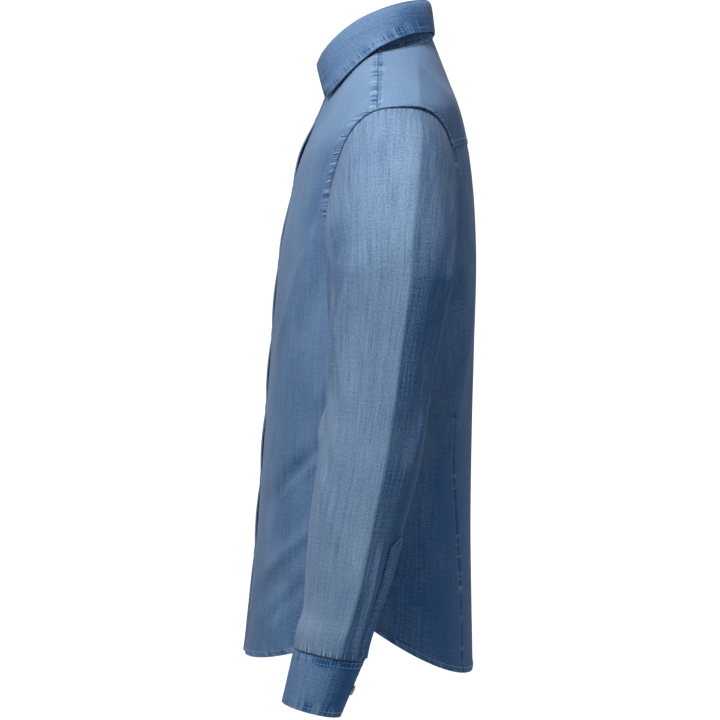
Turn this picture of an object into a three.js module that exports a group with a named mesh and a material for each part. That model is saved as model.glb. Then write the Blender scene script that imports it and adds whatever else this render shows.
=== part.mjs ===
// A long-sleeved denim shirt, buttoned and filled out as if worn, with nobody in it.
// Millimetres. X runs to the wearer's left, the front faces -Y and Z points up.
// The origin is on the centre plane, at the height where the shoulder seams meet the collar.

import * as THREE from 'three';

// Cloth
const CLOTH_WALL = 1.6;
const BAND_WALL = 1.2;
const COLLAR_WALL = 2.2;
const CUFF_WALL = 2.4;
const SEAM_GAP = 0.4;
const LAY_GAP = 0.35;

// Front opening: the right front laps over the left one
const LAP_HALF_WIDTH = 16;
const LAP_DROP = CLOTH_WALL + 2 * LAY_GAP;
const LAP_RAMP_START = 20;
const LAP_RAMP_END = 52;
const BAND_START_RUN = 2.5;
const BUTTON_FIRST_Z = -69;
const BUTTON_PITCH = 84;
const BUTTON_COUNT = 7;
const GAPE_TOP = 2.6;
const GAPE_LOWER = 1.2;

// Buttons
const BUTTON_RADIUS = 5.6;
const BUTTON_RIM_RADIUS = 4.4;
const BUTTON_THICKNESS = 2.2;
const BUTTON_DISH = 0.7;
const BUTTON_SIDES = 14;

// Body, one row for each ring of cloth from the neck to the hem.
// run is the distance down the side; the handles say how square the ring is, and lateRise
// how far the ring stays low round the front and back before it rises to the side.
const BODY_COLUMNS = ['run', 'frontY', 'frontZ', 'halfWidth', 'sideY', 'sideZ', 'backY', 'backZ',
  'centreHandle', 'sideHandle', 'lateRise'];
const BODY = namedRows(BODY_COLUMNS, {
  neckline: [0, -58, -32, 78, -1, 2, 62, 23, 0.5, 0.52, 0],
  midShoulder: [78, -81.5, -86, 146, 5, -36, 80, -24, 0.46, 0.42, 0],
  shoulderTip: [158, -99, -138, 211, 14, -77, 92, -58, 0.6, 0.56, 0],
  yokeSeam: [205, -108, -182, 213, 13, -124, 100.6, -93, 0.62, 0.6, 0],
  midArmhole: [270, -116.5, -222, 210, 10, -186, 109, -160, 0.62, 0.62, 0],
  underarm: [325, -121, -262, 208, 7, -240, 112, -235, 0.62, 0.62, 0],
  chest: [420, -128.5, -345, 206, 4, -335, 109.5, -335, 0.62, 0.62, 0],
  waist: [520, -136, -440, 202, 0, -430, 107, -432, 0.61, 0.61, 0],
  hip: [630, -145, -556, 202, -6, -540, 105.5, -545, 0.61, 0.61, 0.3],
  lowHip: [690, -151.5, -622, 204, -10, -594, 106.5, -625, 0.61, 0.61, 0.7],
  hem: [745, -158.5, -689, 206, -14, -642, 108, -708, 0.61, 0.61, 1],
});

const LATE_RISE_POWER = 2.4;

// Seams on the body
const SHOULDER_SEAM_Y = -5;
const YOKE_SEAM_RUN = 214;
const ARMHOLE_TOP_RUN = 158;
const ARMHOLE_BOTTOM_RUN = 325;
const ARMHOLE_TOP_Y = 16;
const ARMHOLE_BOTTOM_Y = 7;
const ARMHOLE_FRONT_SPAN = 67;
const ARMHOLE_BACK_SPAN = 68;
const ARMHOLE_FRONT_SQUARENESS = 0.66;
const ARMHOLE_BACK_SQUARENESS = 0.84;
const HEM_RUN = 745;

// Soft folds of the body: around is 0 at the centre front, 1 at the side, 2 at the centre back.
const FOLD_COLUMNS = ['topAround', 'topZ', 'bottomAround', 'bottomZ', 'width', 'lift'];
const BODY_FOLDS = namedRows(FOLD_COLUMNS, {
  backRidgeLeft: [1.74, -290, 1.4, -470, 20, 4],
  backValleyLeft: [1.52, -270, 1.27, -450, 22, -6],
  sideRidgeLeft: [1.36, -280, 1.12, -400, 16, 4],
  dragRidgeLeft: [1.05, -520, 1.3, -610, 16, 4],
  backRidgeRight: [-1.72, -300, -1.42, -460, 20, 4],
  backValleyRight: [-1.5, -280, -1.28, -440, 22, -5],
  sideRidgeRight: [-1.34, -290, -1.14, -410, 16, 4],
  chestDragLeft: [0.72, -230, 0.5, -330, 20, -3],
  chestDragRight: [-0.72, -235, -0.5, -330, 20, -3],
  waistFrontLeft: [0.62, -470, 0.3, -520, 16, -3],
  waistFrontRight: [-0.6, -460, -0.32, -515, 16, -3],
  hipFrontLeft: [0.55, -590, 0.25, -625, 16, -3],
  hipFrontRight: [-0.5, -580, -0.24, -620, 16, -3],
});
const FOLD_SCALE = 250;

// Long back darts, which run out at the hem
const DART_COLUMNS = ['z', 'x'];
const DARTS = namedRows(DART_COLUMNS, {
  point: [-400, 152],
  waist: [-470, 140],
  hip: [-600, 116],
  hem: [-712, 112],
});
const DART_HALF_WIDTH = 7;
const DART_DEPTH = 2.2;

// Sleeve, one row for each ring from the biceps to the cuff seam.
// down is the depth below the origin; slope tips the ring, its front edge up.
const ARM_COLUMNS = ['down', 'frontY', 'backY', 'innerX', 'outerX', 'slope'];
const ARM = namedRows(ARM_COLUMNS, {
  biceps: [264, -60, 77, 212.5, 307, 0],
  upper: [340, -59, 60, 215, 309, -0.02],
  elbow: [398, -61, 50.5, 218, 311, -0.05],
  belowElbow: [460, -68, 40, 222, 314, -0.1],
  forearm: [520, -76, 24, 227, 316, -0.14],
  lowForearm: [580, -81, 8, 233, 318, -0.17],
  aboveWrist: [620, -83.5, -6, 238, 319, -0.18],
  wrist: [642, -90.5, -13, 243, 321, -0.18],
  cuffSeam: [661, -93, -17, 247, 320, -0.18],
});
const CAP_LENGTH = 186;
const SLEEVE_LENGTH = CAP_LENGTH + ARM.at(-1).down - ARM[0].down;
const CAP_START_OUT = 0.6;
const CAP_START_GROW = -0.6;
const CAP_PULL_OUTER = new THREE.Vector3(0.66, 0, -0.66);
const CAP_PULL_INNER = new THREE.Vector3(0.45, 0, -0.9);
const CAP_PULL_SIDEWAYS = 0.22;
const CAP_END_PULL = new THREE.Vector3(0.03, 0, -1);

// Sleeve folds: angles run from the outside of the arm round its front, in degrees.
const SLEEVE_FOLD_COLUMNS = ['topAngle', 'topAlong', 'bottomAngle', 'bottomAlong', 'width', 'lift'];
const SLEEVE_FOLDS = namedRows(SLEEVE_FOLD_COLUMNS, {
  pressedCrease: [-17, 20, -16, 586, 13, 4],
  frontRidge: [32, 150, 76, 300, 12, 3],
  frontTrough: [56, 130, 92, 260, 12, -3],
  backTrough: [-62, 190, -48, 330, 16, -4],
  elbowTrough: [118, 270, 92, 330, 13, -4],
  elbowRidge: [112, 320, 84, 366, 12, 3],
  cuffPleatRidge: [-35, 470, -43, 588, 7, 3.5],
  cuffPleatTrough: [-56, 455, -60, 588, 9, -4],
  secondPleat: [-95, 500, -92, 588, 8, -3],
});

// Cuff: a barrel that laps over itself at the back of the wrist
const CUFF_HEIGHT = 60;
const CUFF_HALF_DEPTHS = [36.5, 30.5];
const CUFF_HALF_THICKNESSES = [36.5, 40];
const CUFF_CENTRE_TOP = new THREE.Vector3(283.5, -57, -661.9);
const CUFF_CENTRE_BOTTOM = new THREE.Vector3(284.5, -75.5, -718.5);
const CUFF_SLOPES = [-0.18, -0.25];
const CUFF_LAP_ANGLE = -74;
const CUFF_LAP_LENGTH = 30;
const CUFF_CORNER = 13;
const CUFF_BUTTON_INSET = 12;

// Sleeve placket, on the back of the sleeve above the cuff
const PLACKET_LENGTH = 132;
const PLACKET_POINT = 12;
const PLACKET_END_GAP = 3;
const PLACKET_LIFT = 0.9;
const PLACKET_SIDES = [3, 4, 5];

// Collar: lines that the stand and the leaf follow, from the centre back to the front
const COLLAR_COLUMNS = ['x', 'y', 'z'];
const FOLD_LINE = namedRows(COLLAR_COLUMNS, {
  centreBack: [0, 58.5, 66],
  back: [37, 50, 63.5],
  backSide: [61, 26, 57],
  side: [68, 0, 48.5],
  frontSide: [62, -27, 37],
  front: [47, -50, 22],
  nearEnd: [28, -66, 7],
  end: [7, -74, -5],
});
const LEAF_EDGE = namedRows(COLLAR_COLUMNS, {
  centreBack: [0, 64.3, 30],
  back: [46, 56.5, 27],
  backSide: [76, 31, 19.5],
  side: [91, -3, 3],
  frontSide: [93, -26, -15],
  front: [87, -44, -32],
  nearEnd: [78, -54, -42],
  end: [66, -62, -50],
});
const LEAF_ROLL = 5;
const LEAF_ROLL_LEAST = 0.2;
const STAND_INSET = 3.2;
const STAND_TOP_DROP = 0.8;
const STAND_END_DROP = 7;
const STAND_LAP = 14;
const STAND_LAP_SPREAD = 1.5;
const STAND_BUTTON_HEIGHT = 0.42;

// Mesh counts
const FRONT_COLUMNS = 11;
const BACK_COLUMNS = 24;
const SLEEVE_SIDES = 26;
const COLLAR_STEPS = 44;
const CUFF_STEPS = 34;

// Colours and finish
const DENIM = { color: 0x55779f, roughness: 0.92, metalness: 0 };
const DENIM_DARK = { color: 0x4b6c95, roughness: 0.92, metalness: 0 };
const BUTTON_FINISH = { color: 0x8fa3b8, roughness: 0.4, metalness: 0 };

function namedRows(columns, rows) {
  return Object.entries(rows).map(([name, values]) => {
    const pairs = columns.map((column, index) => [column, values[index]]);
    return { name, ...Object.fromEntries(pairs) };
  });
}

const mix = (a, b, t) => a + (b - a) * t;
const clamp = (value) => Math.min(Math.max(value, 0), 1);
const ease = (t) => clamp(t) ** 2 * (3 - 2 * clamp(t));
const radians = THREE.MathUtils.degToRad;

function hermite(start, startSlope, end, endSlope, t) {
  const t2 = t * t;
  const t3 = t2 * t;
  return start * (2 * t3 - 3 * t2 + 1) + startSlope * (t3 - 2 * t2 + t)
    + end * (3 * t2 - 2 * t3) + endSlope * (t3 - t2);
}

function bezier(a, b, c, d, t) {
  const s = 1 - t;
  return a * s ** 3 + 3 * b * s * s * t + 3 * c * s * t * t + d * t ** 3;
}

// A smooth value in every column of a table, at one value of its key column
function rowAt(rows, key, value) {
  const last = rows.length - 1;
  let index = 0;
  while (index < last - 1 && value > rows[index + 1][key]) index += 1;
  const [a, b] = [rows[index], rows[index + 1]];
  const before = rows[Math.max(index - 1, 0)];
  const after = rows[Math.min(index + 2, last)];
  const span = b[key] - a[key];
  const result = {};
  for (const column of Object.keys(a)) {
    if (column === 'name') continue;
    const slopeA = span * (b[column] - before[column]) / (b[key] - before[key]);
    const slopeB = span * (after[column] - a[column]) / (after[key] - a[key]);
    result[column] = hermite(a[column], slopeA, b[column], slopeB, (value - a[key]) / span);
  }
  return result;
}

function solve(measure, target, low, high) {
  for (let step = 0; step < 36; step += 1) {
    const middle = (low + high) / 2;
    if (measure(middle) < target) low = middle;
    else high = middle;
  }
  return (low + high) / 2;
}

// The smooth body surface. around is signed: plus to the wearer's left, minus to the right.
function bodyBase(around, run) {
  const turn = around > 2 ? around - 4 : around < -2 ? around + 4 : around;
  const ring = rowAt(BODY, 'run', run);
  const isFront = Math.abs(turn) <= 1;
  const t = isFront ? Math.abs(turn) : 2 - Math.abs(turn);
  const centreY = isFront ? ring.frontY : ring.backY;
  const centreZ = isFront ? ring.frontZ : ring.backZ;
  const x = bezier(0, ring.centreHandle * ring.halfWidth, ring.halfWidth, ring.halfWidth, t);
  const handleY = mix(ring.sideY, centreY, ring.sideHandle);
  const y = bezier(centreY, centreY, handleY, ring.sideY, t);
  const rise = mix(ease(t), t ** LATE_RISE_POWER, ring.lateRise);
  return new THREE.Vector3(Math.sign(turn) * x, y, mix(centreZ, ring.sideZ, rise));
}

function normalOf(surface, u, v, stepU, stepV) {
  const alongU = surface(u + stepU, v).sub(surface(u - stepU, v));
  const alongV = surface(u, v + stepV).sub(surface(u, v - stepV));
  return alongV.cross(alongU).normalize();
}

// A ridge or trough along a straight line in a flat plan of the cloth
function foldLift(x, y, fromX, fromY, toX, toY, width) {
  const length = Math.hypot(toX - fromX, toY - fromY);
  const along = ((x - fromX) * (toX - fromX) + (y - fromY) * (toY - fromY)) / length ** 2;
  const across = ((x - fromX) * (toY - fromY) - (y - fromY) * (toX - fromX)) / length;
  const fade = ease((along + 0.15) / 0.3) * ease((1.15 - along) / 0.3);
  return Math.exp(-((across / width) ** 2)) * fade;
}

function bodyFolds(around, point) {
  let lift = 0;
  for (const fold of BODY_FOLDS) {
    if (Math.sign(fold.topAround) !== Math.sign(around)) continue;
    lift += fold.lift * foldLift(around * FOLD_SCALE, point.z, fold.topAround * FOLD_SCALE,
      fold.topZ, fold.bottomAround * FOLD_SCALE, fold.bottomZ, fold.width);
  }
  return lift;
}

function dartLift(point) {
  if (point.y < 0 || point.z > DARTS[0].z) return 0;
  const upward = DARTS.map((row) => ({ drop: -row.z, x: row.x }));
  const centreX = rowAt(upward, 'drop', -point.z).x;
  const across = Math.abs(Math.abs(point.x) - centreX) / DART_HALF_WIDTH;
  const depth = DART_DEPTH * ease((DARTS[0].z - point.z) / 60);
  return -depth * Math.max(0, 1 - across);
}

// The cloth of the body with its folds, moved out by a height
function bodyPoint(around, run, height = 0) {
  const safeRun = Math.min(Math.max(run, 1), HEM_RUN - 1);
  const point = bodyBase(around, run);
  const normal = normalOf(bodyBase, around, safeRun, 0.004, 1);
  return point.addScaledVector(normal, height + bodyFolds(around, point) + dartLift(point));
}

const aroundAtY = (y, run) => solve((around) => bodyBase(around, run).y, y, 0, 2);
const aroundAtX = (x, run) => Math.sign(x) * solve((q) => bodyBase(q, run).x, Math.abs(x), 0, 1);

// Where a point of the front lies, given its place as seen from the front
function frontPlace(x, z) {
  let run = -z;
  for (let step = 0; step < 24; step += 1) {
    run += 0.8 * (bodyBase(aroundAtX(x, run), run).z - z);
    run = Math.min(Math.max(run, 0), HEM_RUN);
  }
  return { around: aroundAtX(x, run), run };
}

// The armhole: angle 0 is its top, a quarter turn its front, a half turn the underarm.
function armholePlace(angle, grow) {
  const depth = (1 - Math.cos(angle)) / 2;
  const run = mix(ARMHOLE_TOP_RUN - grow, ARMHOLE_BOTTOM_RUN + grow, depth);
  const isFront = Math.sin(angle) > 0;
  const span = (isFront ? ARMHOLE_FRONT_SPAN : ARMHOLE_BACK_SPAN) + grow;
  const squareness = isFront ? ARMHOLE_FRONT_SQUARENESS : ARMHOLE_BACK_SQUARENESS;
  const reach = span * Math.abs(Math.sin(angle)) ** squareness;
  const y = mix(ARMHOLE_TOP_Y, ARMHOLE_BOTTOM_Y, depth) + (isFront ? -reach : reach);
  return { around: aroundAtY(y, run), run };
}

const SEAM_ANGLE = Math.asin(((ARMHOLE_TOP_Y - SHOULDER_SEAM_Y) / ARMHOLE_FRONT_SPAN)
  ** (1 / ARMHOLE_FRONT_SQUARENESS));
const YOKE_ANGLE = Math.acos(1 - 2 * (YOKE_SEAM_RUN - ARMHOLE_TOP_RUN)
  / (ARMHOLE_BOTTOM_RUN - ARMHOLE_TOP_RUN));
const SHOULDER_SEAM_RUN = armholePlace(SEAM_ANGLE, 0).run;

// Rows of a panel: each stretch gives its number of rows and the places of its two edges.
function panelRows(stretches) {
  const rows = [];
  stretches.forEach((stretch, index) => {
    for (let row = index === 0 ? 0 : 1; row <= stretch.rows; row += 1) {
      const t = row / stretch.rows;
      rows.push({ edge: stretch.edge(t), centreRun: mix(...stretch.centreRuns, t) });
    }
  });
  return rows;
}

function shoulderEdge(offsetY) {
  return (t) => {
    const run = SHOULDER_SEAM_RUN * t;
    return { around: aroundAtY(mix(-2, SHOULDER_SEAM_Y, t) + offsetY, run), run };
  };
}

const sideEdge = (shift) => (t) => ({
  around: 1 + shift,
  run: mix(ARMHOLE_BOTTOM_RUN + SEAM_GAP, HEM_RUN, t),
});

const SIDE_SHIFT = 0.001;
const HALF_GAP = SEAM_GAP / 2;

const FRONT_STRETCHES = [
  { rows: 5, centreRuns: [0, 92], edge: shoulderEdge(-SEAM_GAP) },
  { rows: 8, centreRuns: [92, 300],
    edge: (t) => armholePlace(mix(SEAM_ANGLE, Math.PI - 0.02, t), HALF_GAP) },
  { rows: 11, centreRuns: [300, HEM_RUN], edge: sideEdge(-SIDE_SHIFT) },
];

const YOKE_STRETCHES = [
  { rows: 5, centreRuns: [0, 120], edge: shoulderEdge(SEAM_GAP) },
  { rows: 4, centreRuns: [120, YOKE_SEAM_RUN - HALF_GAP],
    edge: (t) => armholePlace(mix(SEAM_ANGLE, -YOKE_ANGLE + 0.006, t), HALF_GAP) },
];

const BACK_STRETCHES = [
  { rows: 7, centreRuns: [YOKE_SEAM_RUN + HALF_GAP, 312],
    edge: (t) => armholePlace(mix(-YOKE_ANGLE - 0.006, -Math.PI + 0.02, t), HALF_GAP) },
  { rows: 12, centreRuns: [312, HEM_RUN], edge: sideEdge(SIDE_SHIFT) },
];

// How far the edge of the upper front stands off between two buttons
function gape(point) {
  const steps = (BUTTON_FIRST_Z - point.z) / BUTTON_PITCH;
  if (steps < 0 || steps > BUTTON_COUNT - 1) return 0;
  const height = steps < 1 ? GAPE_TOP : GAPE_LOWER;
  return height * Math.sin(Math.PI * (steps % 1)) ** 2 * ease((point.x + 12) / 28);
}

// How far the lower front tucks in under the upper one
const tuck = (point) => -LAP_DROP
  * (1 - ease((point.x - LAP_RAMP_START) / (LAP_RAMP_END - LAP_RAMP_START)));

// side is 1 for the wearer's left and -1 for the right
function frontPoint(side, around, run, height = 0) {
  const flat = bodyBase(around, run);
  return bodyPoint(around, run, height + (side > 0 ? tuck(flat) : gape(flat)));
}

function frontGrid(side) {
  return panelRows(FRONT_STRETCHES).map(({ edge, centreRun }) => {
    const centreAround = aroundAtX(-side * LAP_HALF_WIDTH, centreRun);
    const row = [];
    for (let column = 0; column <= FRONT_COLUMNS; column += 1) {
      const t = column / FRONT_COLUMNS;
      const around = mix(centreAround, side * edge.around, t);
      row.push(frontPoint(side, around, mix(centreRun, edge.run, t)));
    }
    return side > 0 ? row : row.reverse();
  });
}

function backGrid(stretches) {
  return panelRows(stretches).map(({ edge, centreRun }) => {
    const row = [];
    for (let column = 0; column <= BACK_COLUMNS; column += 1) {
      const across = 2 * column / BACK_COLUMNS - 1;
      const edgeAround = across < 0 ? edge.around : 4 - edge.around;
      const around = mix(2, edgeAround, Math.abs(across));
      row.push(bodyPoint(around, mix(centreRun, edge.run, Math.abs(across))));
    }
    return row;
  });
}

// The band lies on the edge of the right front, with the buttons on it.
function bandGrid() {
  return panelRows(FRONT_STRETCHES).map(({ centreRun }) => {
    const run = Math.max(centreRun, BAND_START_RUN);
    return [-1, -0.33, 0.33, 1].map((share) => {
      const around = aroundAtX(share * (LAP_HALF_WIDTH - 0.2), run);
      return frontPoint(-1, around, run, LAY_GAP + BAND_WALL);
    });
  });
}

// The sleeve without folds; along runs from the armhole to the cuff seam.
function sleeveBase(angle, along) {
  const ring = rowAt(ARM, 'down', ARM[0].down + Math.max(along - CAP_LENGTH, 0));
  const middleY = (ring.frontY + ring.backY) / 2;
  const y = middleY - Math.sin(angle) * (ring.backY - ring.frontY) / 2;
  const x = mix(ring.innerX, ring.outerX, (1 + Math.cos(angle)) / 2);
  const ringPoint = new THREE.Vector3(x, y, ring.slope * (y - middleY) - ring.down);
  if (along >= CAP_LENGTH) return ringPoint;
  const start = armholePlace(angle, CAP_START_GROW);
  const from = bodyBase(start.around, start.run);
  from.x += CAP_START_OUT;
  const reach = from.distanceTo(ringPoint);
  const outer = (1 + Math.cos(angle)) / 2;
  const pull = CAP_PULL_INNER.clone().lerp(CAP_PULL_OUTER, outer);
  pull.y = -CAP_PULL_SIDEWAYS * Math.sin(angle);
  const t = along / CAP_LENGTH;
  const blend = (axis) => hermite(from[axis], pull[axis] * reach, ringPoint[axis],
    CAP_END_PULL[axis] * reach, t);
  return new THREE.Vector3(blend('x'), blend('y'), blend('z'));
}

function sleeveFolds(angle, along) {
  const radius = 58;
  const turn = Math.atan2(Math.sin(angle), Math.cos(angle));
  let lift = 0;
  for (const fold of SLEEVE_FOLDS) {
    lift += fold.lift * foldLift(turn * radius, along, radians(fold.topAngle) * radius,
      fold.topAlong, radians(fold.bottomAngle) * radius, fold.bottomAlong, fold.width);
  }
  return lift * ease(along / 40);
}

function sleevePoint(angle, along, height = 0) {
  const safeAlong = Math.min(Math.max(along, 2), SLEEVE_LENGTH - 2);
  const normal = normalOf(sleeveBase, angle, safeAlong, 0.02, 2).negate();
  return sleeveBase(angle, along).addScaledVector(normal, height + sleeveFolds(angle, along));
}

const CREASE_ANGLE = radians(-17);
const PLACKET_TOP = SLEEVE_LENGTH - PLACKET_LENGTH;
const SLEEVE_STOPS = [0, 12, 30, 52, 78, 106, 136, 162, 186, 214, 244, 274, 304, 334, 364, 394,
  426, PLACKET_TOP + PLACKET_POINT, 488, 511, 534, 554, 572, SLEEVE_LENGTH];

function sleeveGrid() {
  return SLEEVE_STOPS.map((along) => {
    const row = [];
    for (let side = 0; side < SLEEVE_SIDES; side += 1) {
      row.push(sleevePoint(CREASE_ANGLE - 2 * Math.PI * side / SLEEVE_SIDES, along));
    }
    return row;
  });
}

// The placket follows the sleeve's own rings and sides, between its point and the cuff.
function placketGrid() {
  const stops = SLEEVE_STOPS.slice(-7);
  return stops.map((along, row) => PLACKET_SIDES.map((side, column) => {
    const isTip = row === 0 && column === 1;
    const end = row === stops.length - 1 ? PLACKET_END_GAP : 0;
    const angle = CREASE_ANGLE - 2 * Math.PI * side / SLEEVE_SIDES;
    return sleevePoint(angle, isTip ? PLACKET_TOP : along - end, PLACKET_LIFT + BAND_WALL);
  }));
}

// A point of the cuff: distance is the arc length from its hidden end, depth is 0 at the seam.
const CUFF_GIRTH = Math.PI * (CUFF_HALF_DEPTHS[0] + CUFF_HALF_THICKNESSES[0]);
const CUFF_LENGTH = CUFF_GIRTH + CUFF_LAP_LENGTH;

function cuffPoint(distance, depth, height = 0) {
  const angle = radians(CUFF_LAP_ANGLE) - 2 * Math.PI * (distance - CUFF_LAP_LENGTH / 2) / CUFF_GIRTH;
  const lapSpread = (CUFF_WALL + 2 * LAY_GAP) / 2;
  const under = 1 - ease((distance - CUFF_LAP_LENGTH) / 40);
  const over = ease((distance - CUFF_GIRTH + 40) / 40);
  const spread = height + lapSpread * (over - under);
  const centre = CUFF_CENTRE_TOP.clone().lerp(CUFF_CENTRE_BOTTOM, depth);
  const y = -Math.sin(angle) * (mix(...CUFF_HALF_DEPTHS, depth) + spread);
  const x = Math.cos(angle) * (mix(...CUFF_HALF_THICKNESSES, depth) + spread);
  const slope = mix(...CUFF_SLOPES, depth);
  return new THREE.Vector3(centre.x + x, centre.y + y, centre.z + slope * y);
}

function cuffGrid() {
  const rows = 4;
  const grid = [];
  for (let down = 0; down <= rows; down += 1) {
    const row = [];
    for (let step = 0; step <= CUFF_STEPS; step += 1) {
      const distance = CUFF_LENGTH * step / CUFF_STEPS;
      const fromEnd = Math.min(distance, CUFF_LENGTH - distance);
      const inCorner = Math.max(CUFF_CORNER - fromEnd, 0);
      const raise = CUFF_CORNER - Math.sqrt(CUFF_CORNER ** 2 - inCorner ** 2);
      const depth = (1 - 0.92 * raise / CUFF_HEIGHT) * down / rows;
      row.push(cuffPoint(distance, depth));
    }
    grid.push(row);
  }
  return grid;
}

// A point on a collar line; share runs from -1, the right end, over the centre back to 1.
function collarLine(rows) {
  const points = rows.map((row) => new THREE.Vector3(row.x, row.y, row.z));
  const mirrored = points.slice(1).map((point) => new THREE.Vector3(-point.x, point.y, point.z));
  const curve = new THREE.CatmullRomCurve3([...mirrored.reverse(), ...points], false, 'centripetal');
  return (share) => curve.getPointAt(clamp((share + 1) / 2));
}

const foldLine = collarLine(FOLD_LINE);
const leafEdge = collarLine(LEAF_EDGE);

function leafPoint(share, down) {
  const top = foldLine(share);
  const point = top.clone().lerp(leafEdge(share), down);
  const outward = new THREE.Vector3(top.x, top.y, 0).normalize();
  const sideways = mix(LEAF_ROLL_LEAST, 1, Math.sin(Math.PI * Math.abs(share)));
  const roll = LEAF_ROLL * sideways * Math.sin(Math.PI * Math.sqrt(down));
  return point.addScaledVector(outward, roll);
}

function leafGrid() {
  const grid = [];
  for (const down of [0, 0.12, 0.34, 0.66, 1]) {
    const row = [];
    for (let step = 0; step <= COLLAR_STEPS; step += 1) {
      row.push(leafPoint(1 - 2 * step / COLLAR_STEPS, down));
    }
    grid.push(row);
  }
  return grid;
}

// The stand follows the neckline, and its ends lap at the centre front, right over left.
const STAND_OVERHANG = aroundAtX(STAND_LAP, 0);

function standPoint(place, rise, height = 0) {
  const bottom = bodyBase(place > 2 ? place - 4 : place, 0);
  bottom.z += SEAM_GAP;
  const end = Math.min(place, 4 - place);
  const share = 1 - clamp(end / 2);
  const top = foldLine(place < 2 ? share : -share);
  const overlap = Math.max(-end, 0) / STAND_OVERHANG;
  const wanted = (place < 2 ? -1 : 1) * STAND_LAP * overlap;
  if (end < 0.12) top.x = mix(wanted, top.x, clamp(end / 0.12));
  const inward = new THREE.Vector3(-top.x, -top.y, 0).normalize();
  top.addScaledVector(inward, STAND_INSET);
  top.z -= mix(STAND_END_DROP, STAND_TOP_DROP, ease(end / 0.3));
  const lap = STAND_LAP_SPREAD * (1 - ease((end - 0.05) / 0.4)) * (place < 2 ? -1 : 1);
  return bottom.lerp(top, rise).addScaledVector(inward, -lap - height);
}

function standGrid() {
  const grid = [];
  for (const rise of [1, 0.5, 0]) {
    const row = [];
    for (let step = 0; step <= COLLAR_STEPS; step += 1) {
      const place = mix(-STAND_OVERHANG, 4 + STAND_OVERHANG, step / COLLAR_STEPS);
      row.push(standPoint(place, rise));
    }
    grid.push(row);
  }
  return grid;
}

// A closed wall: an outer skin, a copy moved in by the thickness, and rims between them.
// Rows run down the outside and columns run anticlockwise as seen from above.
function wallGeometry(grid, thickness, isTube = false) {
  const rows = grid.length;
  const columns = grid[0].length;
  const wrap = (column) => (column + columns) % columns;
  const stepBack = (column) => (isTube ? wrap(column - 1) : Math.max(column - 1, 0));
  const stepOn = (column) => (isTube ? wrap(column + 1) : Math.min(column + 1, columns - 1));
  const outer = [];
  const inner = [];
  for (let row = 0; row < rows; row += 1) {
    for (let column = 0; column < columns; column += 1) {
      const above = grid[Math.max(row - 1, 0)][column];
      const below = grid[Math.min(row + 1, rows - 1)][column];
      const down = below.clone().sub(above);
      const across = grid[row][stepOn(column)].clone().sub(grid[row][stepBack(column)]);
      const normal = down.cross(across).normalize();
      const point = grid[row][column];
      outer.push(point);
      inner.push(point.clone().addScaledVector(normal, -thickness));
    }
  }
  const positions = [...outer, ...inner].flatMap((point) => point.toArray());
  const faces = [];
  const quad = (a, b, c, d) => faces.push(a, b, c, a, c, d);
  const id = (row, column) => row * columns + (isTube ? wrap(column) : column);
  const inside = rows * columns;
  const lastColumn = isTube ? columns : columns - 1;
  for (let row = 0; row < rows - 1; row += 1) {
    for (let column = 0; column < lastColumn; column += 1) {
      const corners = [id(row, column), id(row + 1, column), id(row + 1, column + 1),
        id(row, column + 1)];
      quad(...corners);
      quad(...corners.map((corner) => corner + inside).reverse());
    }
  }
  const rim = (from, to) => quad(from, to, to + inside, from + inside);
  for (let column = 0; column < lastColumn; column += 1) {
    rim(id(0, column), id(0, column + 1));
    rim(id(rows - 1, column + 1), id(rows - 1, column));
  }
  for (let row = 0; row < rows - 1 && !isTube; row += 1) {
    rim(id(row + 1, 0), id(row, 0));
    rim(id(row, columns - 1), id(row + 1, columns - 1));
  }
  return indexedGeometry(positions, faces);
}

function indexedGeometry(positions, faces) {
  const geometry = new THREE.BufferGeometry();
  geometry.setAttribute('position', new THREE.Float32BufferAttribute(positions, 3));
  geometry.setIndex(faces);
  geometry.computeVertexNormals();
  return geometry;
}

function mirrored(geometry) {
  const positions = [...geometry.getAttribute('position').array];
  for (let index = 0; index < positions.length; index += 3) positions[index] *= -1;
  const faces = [...geometry.index.array].reverse();
  return indexedGeometry(positions, faces);
}

// A dished button whose flat back lies on a point and faces along a normal
function buttonMesh(name, point, normal) {
  const outline = [[0, 0], [BUTTON_RADIUS - 0.5, 0], [BUTTON_RADIUS, 0.7],
    [BUTTON_RADIUS - 0.4, BUTTON_THICKNESS - 0.4], [BUTTON_RIM_RADIUS, BUTTON_THICKNESS],
    [BUTTON_RIM_RADIUS - 1, BUTTON_THICKNESS - BUTTON_DISH], [0, BUTTON_THICKNESS - BUTTON_DISH]];
  const profile = outline.map(([radius, height]) => new THREE.Vector2(radius, height));
  const mesh = piece(name, new THREE.LatheGeometry(profile, BUTTON_SIDES), BUTTON_FINISH);
  mesh.quaternion.setFromUnitVectors(new THREE.Vector3(0, 1, 0), normal);
  mesh.position.copy(point).addScaledVector(normal, LAY_GAP);
  return mesh;
}

function piece(name, geometry, finish) {
  const mesh = new THREE.Mesh(geometry, new THREE.MeshStandardMaterial(finish));
  mesh.name = name;
  return mesh;
}

function frontButtons() {
  const buttons = [];
  for (let index = 0; index < BUTTON_COUNT; index += 1) {
    const place = frontPlace(0, BUTTON_FIRST_Z - BUTTON_PITCH * index);
    const seat = (around, run) => frontPoint(-1, around, run, LAY_GAP + BAND_WALL);
    const normal = normalOf(seat, place.around, place.run, 0.004, 1);
    buttons.push(buttonMesh(`button_front_${index + 1}`, seat(place.around, place.run), normal));
  }
  return buttons;
}

function standButton() {
  const seat = (place, rise) => standPoint(place, 1 - rise);
  const rise = 1 - STAND_BUTTON_HEIGHT;
  const normal = normalOf(seat, 4 - 0.0001, rise, 0.01, 0.05);
  return buttonMesh('button_collar_stand', seat(4, rise), normal);
}

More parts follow.
